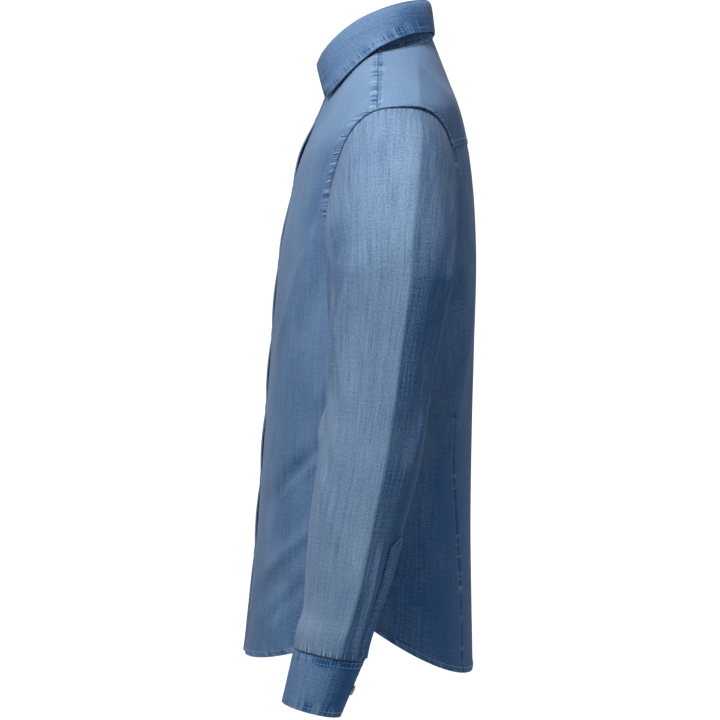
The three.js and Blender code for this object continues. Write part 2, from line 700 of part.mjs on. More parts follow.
function cuffButton() {
  const distance = CUFF_LENGTH - CUFF_BUTTON_INSET;
  const normal = normalOf(cuffPoint, distance, 0.5, 1, 0.05);
  return buttonMesh('button_cuff_left', cuffPoint(distance, 0.5), normal);
}

function mirroredMesh(mesh, name) {
  mesh.updateMatrix();
  const geometry = mesh.geometry.clone().applyMatrix4(mesh.matrix);
  const indexed = indexedGeometry([...geometry.getAttribute('position').array],
    [...geometry.index.array]);
  const copy = piece(name, mirrored(indexed), {});
  copy.material = mesh.material.clone();
  return copy;
}

const shirt = new THREE.Group();
shirt.add(piece('front_left', wallGeometry(frontGrid(1), CLOTH_WALL), DENIM));
shirt.add(piece('front_right', wallGeometry(frontGrid(-1), CLOTH_WALL), DENIM));
shirt.add(piece('front_band', wallGeometry(bandGrid(), BAND_WALL), DENIM_DARK));
shirt.add(piece('back', wallGeometry(backGrid(BACK_STRETCHES), CLOTH_WALL), DENIM));
shirt.add(piece('yoke', wallGeometry(backGrid(YOKE_STRETCHES), CLOTH_WALL), DENIM));
shirt.add(piece('collar_stand', wallGeometry(standGrid(), COLLAR_WALL), DENIM_DARK));
shirt.add(piece('collar_leaf', wallGeometry(leafGrid(), COLLAR_WALL), DENIM));
for (const button of [...frontButtons(), standButton()]) shirt.add(button);

const leftPieces = [
  piece('sleeve_left', wallGeometry(sleeveGrid(), CLOTH_WALL, true), DENIM),
  piece('sleeve_placket_left', wallGeometry(placketGrid(), BAND_WALL), DENIM_DARK),
  piece('cuff_left', wallGeometry(cuffGrid(), CUFF_WALL), DENIM_DARK),
  cuffButton(),
];
for (const mesh of leftPieces) {
  shirt.add(mesh);
  shirt.add(mirroredMesh(mesh, mesh.name.replace('_left', '_right')));
}

export default shirt;
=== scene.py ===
import math

import bpy
import numpy as np
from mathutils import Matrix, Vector


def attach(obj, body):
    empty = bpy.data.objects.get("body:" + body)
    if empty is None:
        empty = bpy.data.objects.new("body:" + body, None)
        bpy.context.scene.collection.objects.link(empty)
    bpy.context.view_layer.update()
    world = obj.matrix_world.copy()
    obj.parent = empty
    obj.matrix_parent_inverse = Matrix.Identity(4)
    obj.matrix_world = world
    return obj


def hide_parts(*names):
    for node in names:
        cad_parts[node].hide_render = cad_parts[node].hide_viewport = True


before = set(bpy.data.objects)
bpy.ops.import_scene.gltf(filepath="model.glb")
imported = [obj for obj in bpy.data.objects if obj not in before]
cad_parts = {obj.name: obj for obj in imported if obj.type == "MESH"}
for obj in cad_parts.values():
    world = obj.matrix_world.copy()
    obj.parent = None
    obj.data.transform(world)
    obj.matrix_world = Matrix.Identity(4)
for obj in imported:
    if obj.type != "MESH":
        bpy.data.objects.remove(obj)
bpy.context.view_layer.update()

# A denim shirt with nobody in it. Sizes are in millimetres until a mesh is made.
# Front is -Y, the wearer's left is +X and the origin is between the shoulder seams.
METRE = 0.001

# The view: level with the middle of the shirt, straight at the wearer's left side
VIEW_DISTANCE = 2900
VIEW_Y = -23.4
VIEW_Z = -351
VIEW_SPAN = 842.4
SENSOR = 36

# Thickness of the cloth, and how far the front band and the plackets stand off
CLOTH = 0.7
BAND_HEIGHT = 0.9
BAND_CLOTH = 0.6
BAND_TOP_RUN = 2.5
PLACKET_HEIGHT = 1.7
PLACKET_CLOTH = 1.0
COLLAR_CLOTH = 1.6
CUFF_CLOTH = 1.8
SHARP_ANGLE = math.radians(50)
MIRROR = np.array((-1, 1, 1))


def table(columns, *rows):
    return {name: np.array([row[i] for row in rows], float) for i, name in enumerate(columns.split())}


# One row for each ring of the body, from the neck to the hem
BODY = table(
    "run frontY frontZ halfWidth sideY sideZ backY backZ centreHandle sideHandle lateRise",
    (0, -58, -32, 78, -1, 2, 62, 23, 0.5, 0.52, 0),
    (78, -81.5, -86, 146, 5, -36, 80, -24, 0.46, 0.42, 0),
    (158, -99, -138, 211, 14, -77, 92, -58, 0.6, 0.56, 0),
    (205, -108, -182, 213, 13, -124, 100.6, -93, 0.62, 0.6, 0),
    (270, -116.5, -222, 210, 10, -186, 109, -160, 0.62, 0.62, 0),
    (325, -121, -262, 208, 7, -240, 112, -235, 0.62, 0.62, 0),
    (420, -128.5, -345, 206, 4, -335, 109.5, -335, 0.62, 0.62, 0),
    (520, -136, -440, 202, 0, -430, 107, -432, 0.61, 0.61, 0),
    (630, -145, -556, 202, -6, -540, 105.5, -545, 0.61, 0.61, 0.3),
    (690, -151.5, -622, 204, -10, -594, 106.5, -625, 0.61, 0.61, 0.7),
    (745, -158.5, -689, 206, -14, -642, 108, -708, 0.61, 0.61, 1),
)
LATE_RISE_POWER = 2.4
HEM_RUN = 745
SHOULDER_SEAM_Y = -5
SHOULDER_SEAM_NECK_Y = -2
YOKE_SEAM_RUN = 214
ARMHOLE_RUNS = (158, 325)
ARMHOLE_Y = (16, 7)
ARMHOLE_SPANS = (67, 68)
ARMHOLE_SQUARE = (0.66, 0.84)
SEAM_HALF_GAP = 0.12

# Front opening: the right front laps over the left one
LAP_HALF_WIDTH = 16
LAP_DROP = 1.1
LAP_RAMP = (20, 52)
GAPE_TOP = 3
GAPE_LOWER = 1.2
GAPE_RAMP = (-12, 16)
BUTTON_FIRST_Z = -69
BUTTON_PITCH = 84
BUTTON_COUNT = 7
BUTTON_DIMPLE = 2.4
BUTTON_DIMPLE_WIDTH = 13

# Folds of the body: around is 0 at the centre front, 1 at the left side, 2 at the centre back.
# Those on the right, which the photo doesn't show, are like those on the left but not the same.
BODY_FOLDS = table(
    "topAround topZ bottomAround bottomZ width lift",
    (1.74, -290, 1.4, -470, 20, 4),
    (1.52, -270, 1.27, -450, 22, -6),
    (1.36, -280, 1.12, -400, 16, 4),
    (1.05, -520, 1.3, -610, 16, 4),
    (-1.72, -300, -1.42, -460, 20, 4),
    (-1.5, -280, -1.28, -440, 22, -5),
    (-1.34, -290, -1.14, -410, 16, 4),
    (0.72, -230, 0.5, -330, 20, -3),
    (-0.72, -235, -0.5, -330, 20, -3),
    (0.62, -470, 0.3, -520, 16, -3),
    (-0.6, -460, -0.32, -515, 16, -3),
    (0.55, -590, 0.25, -625, 16, -3),
    (-0.5, -580, -0.24, -620, 16, -3),
    (1.62, -300, 1.36, -440, 7, 1.6),
    (1.44, -262, 1.2, -380, 8, -1.6),
    (1.2, -470, 1.34, -590, 6, 1.6),
    (1.02, -560, 1.26, -628, 6, -1.6),
    (0.84, -300, 0.66, -400, 9, 2.2),
    (0.9, -420, 0.5, -480, 10, -2.4),
    (0.8, -440, 0.44, -505, 8, 1.8),
    (0.74, -530, 0.34, -592, 9, 2.4),
    (0.8, -575, 0.42, -640, 9, -2.2),
    (0.52, -225, 0.26, -340, 9, 1.6),
    (-1.6, -310, -1.38, -430, 7, 1.6),
    (-1.42, -270, -1.22, -390, 8, -1.6),
    (-1.18, -480, -1.32, -600, 6, 1.6),
    (-0.86, -310, -0.64, -410, 9, 1.6),
    (-0.7, -530, -0.4, -585, 8, 1.4),
    (-0.42, -240, -0.24, -320, 9, 1.2),
    (0.6, -128, 0.55, -208, 6, -2.2),
    (-0.61, -130, -0.56, -205, 6, -2),
)
FOLD_SCALE = 250

# A tuck beside the back of each armhole, and a line pressed into the yoke, each with painted shade:
# inside the tuck and behind the line
TUCK_Z = -126
TUCK_HALF_HEIGHT = 9
TUCK_DEPTH = 3.5
PRESS_Y = 41
PRESS_LIFT = 3
PRESS_WIDTH = 14
PRESS_SHADE = 0.14

# Long back darts, which run out at the hem
DARTS = table("down x", (400, 152), (470, 140), (600, 116), (712, 112))
DART_DEPTH = 1.4
DART_WIDTH = 2.2

# One row for each ring of the sleeve, from the biceps to the cuff seam
ARM = table(
    "down frontY backY innerX outerX slope",
    (264, -60, 77, 212.5, 307, 0),
    (340, -59, 60, 215, 309, -0.02),
    (398, -61, 50.5, 218, 311, -0.05),
    (460, -68, 40, 222, 314, -0.1),
    (520, -76, 24, 227, 316, -0.14),
    (580, -81, 8, 233, 318, -0.17),
    (620, -83.5, -6, 238, 319, -0.18),
    (642, -90.5, -13, 243, 321, -0.18),
    (661, -93, -17, 247, 320, -0.18),
)
CAP_LENGTH = 186
SLEEVE_LENGTH = CAP_LENGTH + ARM["down"][-1] - ARM["down"][0]
CAP_START_OUT = 0.4
CAP_START_GROW = -0.3
CAP_PULL_OUTER = np.array((0.66, 0, -0.66))
CAP_PULL_INNER = np.array((0.45, 0, -0.9))
CAP_PULL_SIDEWAYS = 0.22
CAP_END_PULL = np.array((0.03, 0, -1))
ARM_RADIUS = 58
CREASE_ANGLE = math.radians(-17)
SLEEVE_COLUMNS = 168
HEAD_GIRTH = 440
WRIST_GIRTH = 236

# Painted shade: the cloth is painted darker behind the pressed crease and before the front ridge, where
# less light falls
SHADE_BEHIND_CREASE = 0.1
SHADE_BEFORE_RIDGE = 0.09

# Sleeve folds: angles run in degrees from the outside of the arm round its front.
# keen is 1 for a pressed edge and 0 for a soft roll.
SLEEVE_FOLDS = table(
    "topAngle topAlong bottomAngle bottomAlong width lift keen",
    (-17, 14, -16, 586, 15, 6.5, 1),
    (34, 165, 67, 296, 9, 4.5, 0.8),
    (58, 130, 92, 270, 13, -4.5, 0),
    (-66, 150, -46, 360, 16, -2.6, 0),
    (118, 270, 92, 330, 13, -4, 0),
    (112, 320, 84, 366, 12, 3, 0),
    (-35, 470, -43, 588, 6, 3.2, 1),
    (-56, 455, -60, 588, 9, -4, 0),
    (-95, 500, -92, 588, 8, -3, 0),
    (70, 205, 34, 330, 9, 1.6, 0),
    (80, 330, 40, 420, 9, -1.4, 0),
    (60, 400, 20, 470, 10, 1.2, 0),
    (-100, 120, -60, 220, 12, 2.2, 0),
    (-80, 300, -50, 390, 10, 1.6, 0),
    (-110, 260, -70, 330, 10, -2, 0),
    (20, 70, 60, 150, 14, 1.4, 0),
    (-45, 60, -80, 170, 12, -1.8, 0),
    (150, 120, 110, 230, 14, -2, 0),
    (170, 300, 130, 380, 12, 2, 0),
    (-150, 200, -120, 330, 14, 2, 0),
)

# Cuff: a barrel that laps over itself at the back of the wrist
CUFF_HEIGHT = 60
CUFF_HALF_DEPTHS = (36.5, 30.5)
CUFF_HALF_THICKNESSES = (36.5, 40)
CUFF_CENTRES = (np.array((283.5, -57, -661.9)), np.array((284.5, -75.5, -718.5)))
CUFF_SLOPES = (-0.18, -0.25)
CUFF_LAP_ANGLE = math.radians(-74)
CUFF_LAP_LENGTH = 30
CUFF_LAP_EASE = 40
CUFF_LAP_SPREAD = 1.5
CUFF_CORNER = 13
CUFF_BUTTON_INSET = 12

# Sleeve placket, on the back of the sleeve above the cuff
PLACKET_LENGTH = 132
PLACKET_HALF_WIDTH = 12
PLACKET_POINT = 12
PLACKET_WEAR = 0.12
PLACKET_ANGLE = CREASE_ANGLE - 2 * math.pi * 4 / 26

# Collar: lines that the stand and the leaf follow, from the centre back to the front
FOLD_LINE = np.array((
    (0, 58.5, 66), (37, 50, 63.5), (61, 26, 57), (68, 0, 48.5),
    (62, -27, 37), (47, -50, 22), (28, -66, 7), (7, -74, -5),
), float)
LEAF_EDGE = np.array((
    (0, 64.3, 30), (46, 56.5, 27), (76, 31, 19.5), (91, -3, 3),
    (93, -26, -15), (87, -44, -32), (78, -54, -42), (66, -62, -50),
), float)
LEAF_ROLL = 5
LEAF_ROLL_LEAST = 0.2
LEAF_TURN_RADIUS = 3
LEAF_FLAP = 5
STAND_INSET = 2.4
STAND_TOP_DROP = 3.4
STAND_END_DROP = 7
STAND_LAP = 14
STAND_LAP_SPREAD = 1.5

# Stitching: each row lies in a shallow trough, and the cloth is coloured darker there and in the seam
# ditches
STITCH_PITCH = 3.5
STITCH_LENGTH = 2.5
STITCH_WIDTH = 0.8
STITCH_HEIGHT = 0.5
STITCH_STAND_OFF = 0.12
ROW_DEPTH = 0.25
ROW_DARK = 0.3
DITCH_DARK = 0.5

# How far each row of stitches lies from its seam or edge
SHOULDER_ROW = 4
ARMHOLE_ROW = 6.5
DOUBLE_ROWS = (1.5, 7)
EDGE_ROW = 6
CUFF_ROW = 5
PLACKET_ROW = 1.5
STAND_ROW = 2
HEM_SEAM = {"rows": (EDGE_ROW,), "welt": 0.7, "ditch": 0, "welt_width": 7.5, "centre": 3,
            "pucker": 0.4, "reach": 4, "slant": 0.9, "length": 7}
BACK_ARMHOLE_SEAM = {"rows": (ARMHOLE_ROW,), "welt": 0.7, "pucker": 0.7, "length": 6}

# Paler where the cloth faces up, out and forward, towards the key light: partly washing fade, partly
# painted light
FADE_AND_LIGHT = 0.42
FADE_AND_LIGHT_FACING = np.array((0.5, -0.25, 0.83))
FADE_AND_LIGHT_LEVEL = 0.42


def mix(a, b, t):
    return a + (b - a) * t


def ease(t):
    t = np.clip(t, 0, 1)
    return t * t * (3 - 2 * t)


def ramp(value, ends):
    return ease((value - ends[0]) / (ends[1] - ends[0]))


def hermite(start, start_slope, end, end_slope, t):
    t2 = t * t
    t3 = t2 * t
    return (start * (2 * t3 - 3 * t2 + 1) + start_slope * (t3 - 2 * t2 + t)
            + end * (3 * t2 - 2 * t3) + end_slope * (t3 - t2))


def bezier(a, b, c, d, t):
    s = 1 - t
    return a * s ** 3 + 3 * b * s * s * t + 3 * c * s * t * t + d * t ** 3


def unit(vectors):
    return vectors / np.maximum(np.linalg.norm(vectors, axis=-1, keepdims=True), 1e-9)


def sample(rows, key, value):
    """Smooth values of every column of a table, at values of its key column."""
    knots = rows[key]
    last = len(knots) - 1
    i = np.clip(np.searchsorted(knots, value, side="left") - 1, 0, last - 1)
    before = np.maximum(i - 1, 0)
    after = np.minimum(i + 2, last)
    span = knots[i + 1] - knots[i]
    t = (value - knots[i]) / span
    result = {}
    for name, column in rows.items():
        slope_a = span * (column[i + 1] - column[before]) / (knots[i + 1] - knots[before])
        slope_b = span * (column[after] - column[i]) / (knots[after] - knots[i])
        result[name] = hermite(column[i], slope_a, column[i + 1], slope_b, t)
    return result


def solve(measure, target, low, high):
    """Where a rising measure reaches its target, for arrays."""
    low = np.zeros_like(target) + low
    high = np.zeros_like(target) + high
    for _ in range(32):
        middle = (low + high) / 2
        under = measure(middle) < target
        low = np.where(under, middle, low)
        high = np.where(under, high, middle)
    return (low + high) / 2


def value_noise(x, seed):
    """Smooth seeded noise from -1 to 1, with one knot for each unit."""
    knots = np.random.RandomState(seed).uniform(-1, 1, 512)
    i = np.floor(x).astype(int)
    return mix(knots[i % 512], knots[(i + 1) % 512], ease(x - i))


# Body

def body_base(around, run):
    around, run = np.broadcast_arrays(np.asarray(around, float), np.asarray(run, float))
    turn = np.where(around > 2, around - 4, np.where(around < -2, around + 4, around))
    ring = sample(BODY, "run", run)
    is_front = np.abs(turn) <= 1
    t = np.where(is_front, np.abs(turn), 2 - np.abs(turn))
    centre_y = np.where(is_front, ring["frontY"], ring["backY"])
    centre_z = np.where(is_front, ring["frontZ"], ring["backZ"])
    width = ring["halfWidth"]
    x = bezier(0, ring["centreHandle"] * width, width, width, t)
    handle_y = mix(ring["sideY"], centre_y, ring["sideHandle"])
    y = bezier(centre_y, centre_y, handle_y, ring["sideY"], t)
    rise = mix(ease(t), np.clip(t, 0, 1) ** LATE_RISE_POWER, ring["lateRise"])
    z = mix(centre_z, ring["sideZ"], rise)
    return np.stack([np.sign(turn) * x, y, z], axis=-1)


def normal_of(surface, u, v, step_u, step_v):
    along_u = surface(u + step_u, v) - surface(u - step_u, v)
    along_v = surface(u, v + step_v) - surface(u, v - step_v)
    return unit(np.cross(along_v, along_u))


def fold_shape(x, y, x0, y0, x1, y1, width, keen=0.0):
    """A ridge along a straight line in a flat plan of the cloth."""
    length = math.hypot(x1 - x0, y1 - y0)
    along = ((x - x0) * (x1 - x0) + (y - y0) * (y1 - y0)) / length ** 2
    across = ((x - x0) * (y1 - y0) - (y - y0) * (x1 - x0)) / length
    fade = ease((along + 0.15) / 0.3) * ease((1.15 - along) / 0.3)
    soft = np.exp(-((across / width) ** 2))
    sharp = np.exp(-(np.sqrt(across ** 2 + 1.5) - 1.2) / width)
    return mix(soft, sharp, keen) * fade


def body_folds(around, point):
    lift = np.zeros(around.shape)
    for top_a, top_z, low_a, low_z, width, height in zip(*BODY_FOLDS.values()):
        shape = fold_shape(around * FOLD_SCALE, point[..., 2], top_a * FOLD_SCALE, top_z,
                           low_a * FOLD_SCALE, low_z, width)
        lift += np.where(np.sign(around) == np.sign(top_a), height * shape, 0)
    return lift


def body_point(around, run, height=0.0):
    around, run = np.broadcast_arrays(np.asarray(around, float), np.asarray(run, float))
    point = body_base(around, run)
    normal = normal_of(body_base, around, np.clip(run, 1, HEM_RUN - 1), 0.004, 1.0)
    turn = np.where(around > 2, around - 4, around)
    return point + normal * (height + body_folds(turn, point))[..., None]


def around_at_y(y, run):
    return solve(lambda around: body_base(around, run)[..., 1], y + 0 * run, 0, 2)


def around_at_x(x, run):
    target = np.abs(x) + 0 * run
    return np.sign(x) * solve(lambda around: body_base(around, run)[..., 0], target, 0, 1)


def front_place(x, z):
    run = -z + 0 * x
    for _ in range(16):
        run = run + 0.8 * (body_base(around_at_x(x, run), run)[..., 2] - z)
        run = np.clip(run, 0, HEM_RUN)
    return around_at_x(x, run), run


def armhole_place(angle, grow):
    depth = (1 - np.cos(angle)) / 2
    run = mix(ARMHOLE_RUNS[0] - grow, ARMHOLE_RUNS[1] + grow, depth)
    is_front = np.sin(angle) > 0
    span = np.where(is_front, ARMHOLE_SPANS[0], ARMHOLE_SPANS[1]) + grow
    square = np.where(is_front, ARMHOLE_SQUARE[0], ARMHOLE_SQUARE[1])
    reach = span * np.abs(np.sin(angle)) ** square
    y = mix(ARMHOLE_Y[0], ARMHOLE_Y[1], depth) + np.where(is_front, -reach, reach)
    return around_at_y(y, run), run


seam_reach = (ARMHOLE_Y[0] - SHOULDER_SEAM_Y) / ARMHOLE_SPANS[0]
SEAM_ANGLE = math.asin(seam_reach ** (1 / ARMHOLE_SQUARE[0]))
yoke_depth = (YOKE_SEAM_RUN - ARMHOLE_RUNS[0]) / (ARMHOLE_RUNS[1] - ARMHOLE_RUNS[0])
YOKE_ANGLE = math.acos(1 - 2 * yoke_depth)
SHOULDER_SEAM_RUN = float(armhole_place(np.array([SEAM_ANGLE]), 0)[1][0])


def shoulder_edge(offset_y):
    def edge(t):
        run = SHOULDER_SEAM_RUN * t
        y = mix(SHOULDER_SEAM_NECK_Y, SHOULDER_SEAM_Y, t) + offset_y
        return around_at_y(y, run), run
    return edge


def armhole_edge(start, end):
    return lambda t: armhole_place(mix(start, end, t), SEAM_HALF_GAP)


def side_edge(shift):
    return lambda t: (1 + shift + 0 * t, mix(ARMHOLE_RUNS[1] + 0.3, HEM_RUN, t))


# Stretches of a panel from top to bottom: rows, runs at its centre line, and its outer edge
FRONT_STRETCHES = (
    (56, (0, 92), shoulder_edge(-SEAM_HALF_GAP)),
    (104, (92, 300), armhole_edge(SEAM_ANGLE, math.pi - 0.02)),
    (140, (300, HEM_RUN), side_edge(-0.0006)),
)
YOKE_STRETCHES = (
    (48, (0, 120), shoulder_edge(SEAM_HALF_GAP)),
    (36, (120, YOKE_SEAM_RUN - SEAM_HALF_GAP), armhole_edge(SEAM_ANGLE, -YOKE_ANGLE + 0.002)),
)
BACK_STRETCHES = (
    (76, (YOKE_SEAM_RUN + SEAM_HALF_GAP, 312), armhole_edge(-YOKE_ANGLE - 0.002, -math.pi + 0.02)),
    (150, (312, HEM_RUN), side_edge(0.0006)),
)


def panel_rows(stretches):
    around, run, centre = [], [], []
    for index, (rows, runs, edge) in enumerate(stretches):
        t = np.linspace(0, 1, rows + 1)[min(index, 1):]
        edge_around, edge_run = edge(t)
        around.append(edge_around)
        run.append(edge_run + 0 * t)
        centre.append(mix(runs[0], runs[1], t))
    return np.concatenate(around), np.concatenate(run), np.concatenate(centre)


def gape(point):
    """How far the edge of the upper front stands off between two buttons."""
    steps = (BUTTON_FIRST_Z - point[..., 2]) / BUTTON_PITCH
    height = np.where(steps < 1, GAPE_TOP, GAPE_LOWER) * np.sin(math.pi * (steps % 1)) ** 2
    inside = (steps >= 0) & (steps <= BUTTON_COUNT - 1)
    return np.where(inside, height * ramp(point[..., 0], GAPE_RAMP), 0)


def tuck(point):
    """How far the lower front goes in under the upper one."""
    return -LAP_DROP * (1 - ramp(point[..., 0], LAP_RAMP))


def dimples(point):
    """Each fastened button holds the cloth in a little."""
    drop = np.zeros(point.shape[:-1])
    for index in range(BUTTON_COUNT):
        z = point[..., 2] - BUTTON_FIRST_Z + BUTTON_PITCH * index
        drop -= BUTTON_DIMPLE * np.exp(-(point[..., 0] ** 2 + z ** 2) / BUTTON_DIMPLE_WIDTH ** 2)
    return drop


def front_point(side, around, run, height=0.0):
    flat = body_base(around, run)
    return body_point(around, run, height + dimples(flat) + (tuck(flat) if side > 0 else gape(flat)))


# Sleeve

def sleeve_base(angle, along):
    angle = np.asarray(angle, float)
    along = np.asarray(along, float)
    ring = sample(ARM, "down", ARM["down"][0] + np.maximum(along - CAP_LENGTH, 0))
    middle = (ring["frontY"] + ring["backY"]) / 2
    y = middle - np.sin(angle) * (ring["backY"] - ring["frontY"]) / 2
    outer = (1 + np.cos(angle)) / 2
    x = mix(ring["innerX"], ring["outerX"], outer)
    end = np.stack(np.broadcast_arrays(x, y, ring["slope"] * (y - middle) - ring["down"]), axis=-1)
    around, run = armhole_place(angle, CAP_START_GROW)
    start = body_base(around, run) + np.array((CAP_START_OUT, 0, 0))
    reach = np.linalg.norm(end - start, axis=-1)[..., None]
    pull = mix(CAP_PULL_INNER, CAP_PULL_OUTER, outer[..., None])
    pull[..., 1] = -CAP_PULL_SIDEWAYS * np.sin(angle)
    t = np.clip(along / CAP_LENGTH, 0, 1)[..., None]
    return hermite(start, pull * reach, end, CAP_END_PULL * reach, t)


def sleeve_folds(angle, along):
    turn = np.arctan2(np.sin(angle), np.cos(angle))
    lift = 0
    for top_angle, top, low_angle, low, width, height, keen in zip(*SLEEVE_FOLDS.values()):
        lift = lift + height * fold_shape(
            turn * ARM_RADIUS, along, math.radians(top_angle) * ARM_RADIUS, top,
            math.radians(low_angle) * ARM_RADIUS, low, width, keen)
    return lift * ease(along / 40)


def sleeve_point(angle, along, height=0.0):
    safe = np.clip(along, 2, SLEEVE_LENGTH - 2)
    normal = -normal_of(sleeve_base, angle, safe, 0.02, 2.0)
    lift = height + sleeve_folds(angle, along)
    return sleeve_base(angle, along) + normal * lift[..., None]


# Cuff

CUFF_GIRTH = math.pi * (CUFF_HALF_DEPTHS[0] + CUFF_HALF_THICKNESSES[0])
CUFF_LENGTH = CUFF_GIRTH + CUFF_LAP_LENGTH


def cuff_point(distance, depth, height=0.0):
    angle = CUFF_LAP_ANGLE - 2 * math.pi * (distance - CUFF_LAP_LENGTH / 2) / CUFF_GIRTH
    under = 1 - ease((distance - CUFF_LAP_LENGTH) / CUFF_LAP_EASE)
    over = ease((distance - CUFF_GIRTH + CUFF_LAP_EASE) / CUFF_LAP_EASE)
    spread = height + CUFF_LAP_SPREAD * (over - under)
    centre = mix(CUFF_CENTRES[0], CUFF_CENTRES[1], np.asarray(depth)[..., None])
    y = -np.sin(angle) * (mix(*CUFF_HALF_DEPTHS, depth) + spread)
    x = np.cos(angle) * (mix(*CUFF_HALF_THICKNESSES, depth) + spread)
    offset = np.stack(np.broadcast_arrays(x, y, mix(*CUFF_SLOPES, depth) * y), axis=-1)
    return centre + offset


# Collar

def collar_line(points):
    """A smooth line over both halves; share runs from -1, the right end, to 1."""
    right = points[1:] * np.array((-1, 1, 1))
    line = np.concatenate([right[::-1], points])
    line = np.concatenate([[2 * line[0] - line[1]], line, [2 * line[-1] - line[-2]]])
    t = np.linspace(0, 1, 40, endpoint=False)[:, None]
    dense = []
    for a, b, c, d in zip(line, line[1:], line[2:], line[3:]):
        ab, bc, cd = (math.sqrt(np.linalg.norm(q - p)) for p, q in ((a, b), (b, c), (c, d)))
        slope_b = bc * ((b - a) / ab - (c - a) / (ab + bc) + (c - b) / bc)
        slope_c = bc * ((c - b) / bc - (d - b) / (bc + cd) + (d - c) / cd)
        dense.append(hermite(b, slope_b, c, slope_c, t))
    dense = np.concatenate([*dense, line[-2:-1]])
    steps = np.linalg.norm(np.diff(dense, axis=0), axis=1)
    length = np.concatenate([[0], np.cumsum(steps)])

    def at(share):
        wanted = (np.clip(share, -1, 1) + 1) / 2 * length[-1]
        return np.stack([np.interp(wanted, length, dense[:, k]) for k in range(3)], axis=-1)
    return at


fold_line = collar_line(FOLD_LINE)
leaf_edge = collar_line(LEAF_EDGE)


def leaf_point(share, down):
    """down is 0 at the fold and 1 at the edge; below 0 it turns over the top of the stand."""
    top = fold_line(share)
    outward = unit(top * np.array((1, 1, 0)))
    fall = np.clip(down, 0, 1)[..., None]
    point = mix(top, leaf_edge(share), fall)
    sideways = mix(LEAF_ROLL_LEAST, 1, np.sin(math.pi * np.abs(share)))
    roll = LEAF_ROLL * sideways * np.sin(math.pi * np.sqrt(np.clip(down, 0, 1)))
    point = point + outward * roll[..., None]
    turn = np.clip(-down, 0, 1)[..., None] * math.pi
    flap = np.clip(-down - 1, 0, 1)[..., None] * LEAF_FLAP
    up = np.array((0, 0, 1))
    over = outward * LEAF_TURN_RADIUS * (np.cos(turn) - 1) + up * LEAF_TURN_RADIUS * 0.7 * np.sin(turn)
    return point + over - up * flap


STAND_OVERHANG = float(around_at_x(np.array([STAND_LAP]), np.array([0.0]))[0])


def stand_point(place, rise, height=0.0):
    bottom = body_base(np.where(place > 2, place - 4, place), 0 * place)
    bottom[..., 2] += 0.2
    end = np.minimum(place, 4 - place)
    is_left = place < 2
    share = 1 - np.clip(end / 2, 0, 1)
    top = fold_line(np.where(is_left, share, -share))
    overlap = np.maximum(-end, 0) / STAND_OVERHANG
    wanted = np.where(is_left, -1, 1) * STAND_LAP * overlap
    top[..., 0] = np.where(end < 0.12, mix(wanted, top[..., 0], np.clip(end / 0.12, 0, 1)), top[..., 0])
    inward = unit(top * np.array((-1, -1, 0)))
    top = top + inward * STAND_INSET
    top[..., 2] -= mix(STAND_END_DROP, STAND_TOP_DROP, ease(end / 0.3))
    lap = STAND_LAP_SPREAD * (1 - ease((end - 0.05) / 0.4)) * np.where(is_left, -1, 1)
    point = mix(bottom, top, np.asarray(rise)[..., None])
    return point - inward * (lap + height)[..., None]


# Cloth pieces: grids whose rows run down the outside and columns anticlockwise from above

def grid_normals(grid, wrap=False):
    if wrap:
        across = np.roll(grid, -1, axis=1) - np.roll(grid, 1, axis=1)
    else:
        across = np.gradient(grid, axis=1)
    return unit(np.cross(np.gradient(grid, axis=0), across))


def from_edge(grid, edge):
    """Distance of each point of a grid from one of its edges, and its place along that edge."""
    axis = 1 if edge in ("left", "right") else 0
    if edge in ("right", "bottom"):
        grid = np.flip(grid, axis)
    steps = np.linalg.norm(np.diff(grid, axis=axis), axis=-1)
    zero = np.zeros_like(steps[:, :1] if axis == 1 else steps[:1])
    distance = np.cumsum(np.concatenate([zero, steps], axis), axis)
    line = grid[:, 0] if axis == 1 else grid[0]
    along = np.concatenate([[0], np.cumsum(np.linalg.norm(np.diff(line, axis=0), axis=1))])
    along = along[:, None] + 0 * distance if axis == 1 else along[None, :] + 0 * distance
    if edge in ("right", "bottom"):
        distance = np.flip(distance, axis)
    return distance, along


def seam_relief(distance, along, seed, rows=(), welt=0.0, welt_width=7.0, ditch=0.7,
                pucker=0.32, reach=6.0, centre=None, length=6.5, slant=0.0):
    """The cloth beside a seam: its height, how worn and how dark it is, how crimped it is and the place
    along it.
    """
    centre = (rows[0] if rows else 0) if centre is None else centre
    in_ditch = np.exp(-((distance / 1.1) ** 2))
    lift = -ditch * in_ditch
    lift += welt * (ease(distance / 1.4) - ease((distance - welt_width + 0.8) / 1.6))
    phase = (along + slant * distance) / (length / 2)
    waves = value_noise(phase, seed) + 0.5 * value_noise(phase * 1.9, seed + 1)
    strength = 0.65 + 0.5 * value_noise(along / 34, seed + 2)
    fade = np.exp(-(((distance - centre) / reach) ** 2))
    ripple = pucker * strength * waves * fade
    wear_and_shading = ripple - DITCH_DARK * ditch * in_ditch
    for row in rows:
        trough = np.exp(-(((distance - row) / 0.9) ** 2))
        lift = lift - ROW_DEPTH * trough
        wear_and_shading = wear_and_shading - ROW_DARK * trough
    crimp = 1.6 * pucker * np.exp(-(((distance - centre) / (0.6 * reach)) ** 2))
    return lift + ripple, wear_and_shading, crimp, along + slant * distance


def weigh(weight, relief):
    lift, wear_and_shading, crimp, place = relief
    return weight * lift, weight * wear_and_shading, weight * crimp, place


def spaced(count, ends=0.55):
    """Values from 0 to 1 that lie closer together at both ends."""
    t = np.linspace(0, 1, count)
    return t - ends * np.sin(2 * math.pi * t) / (2 * math.pi)


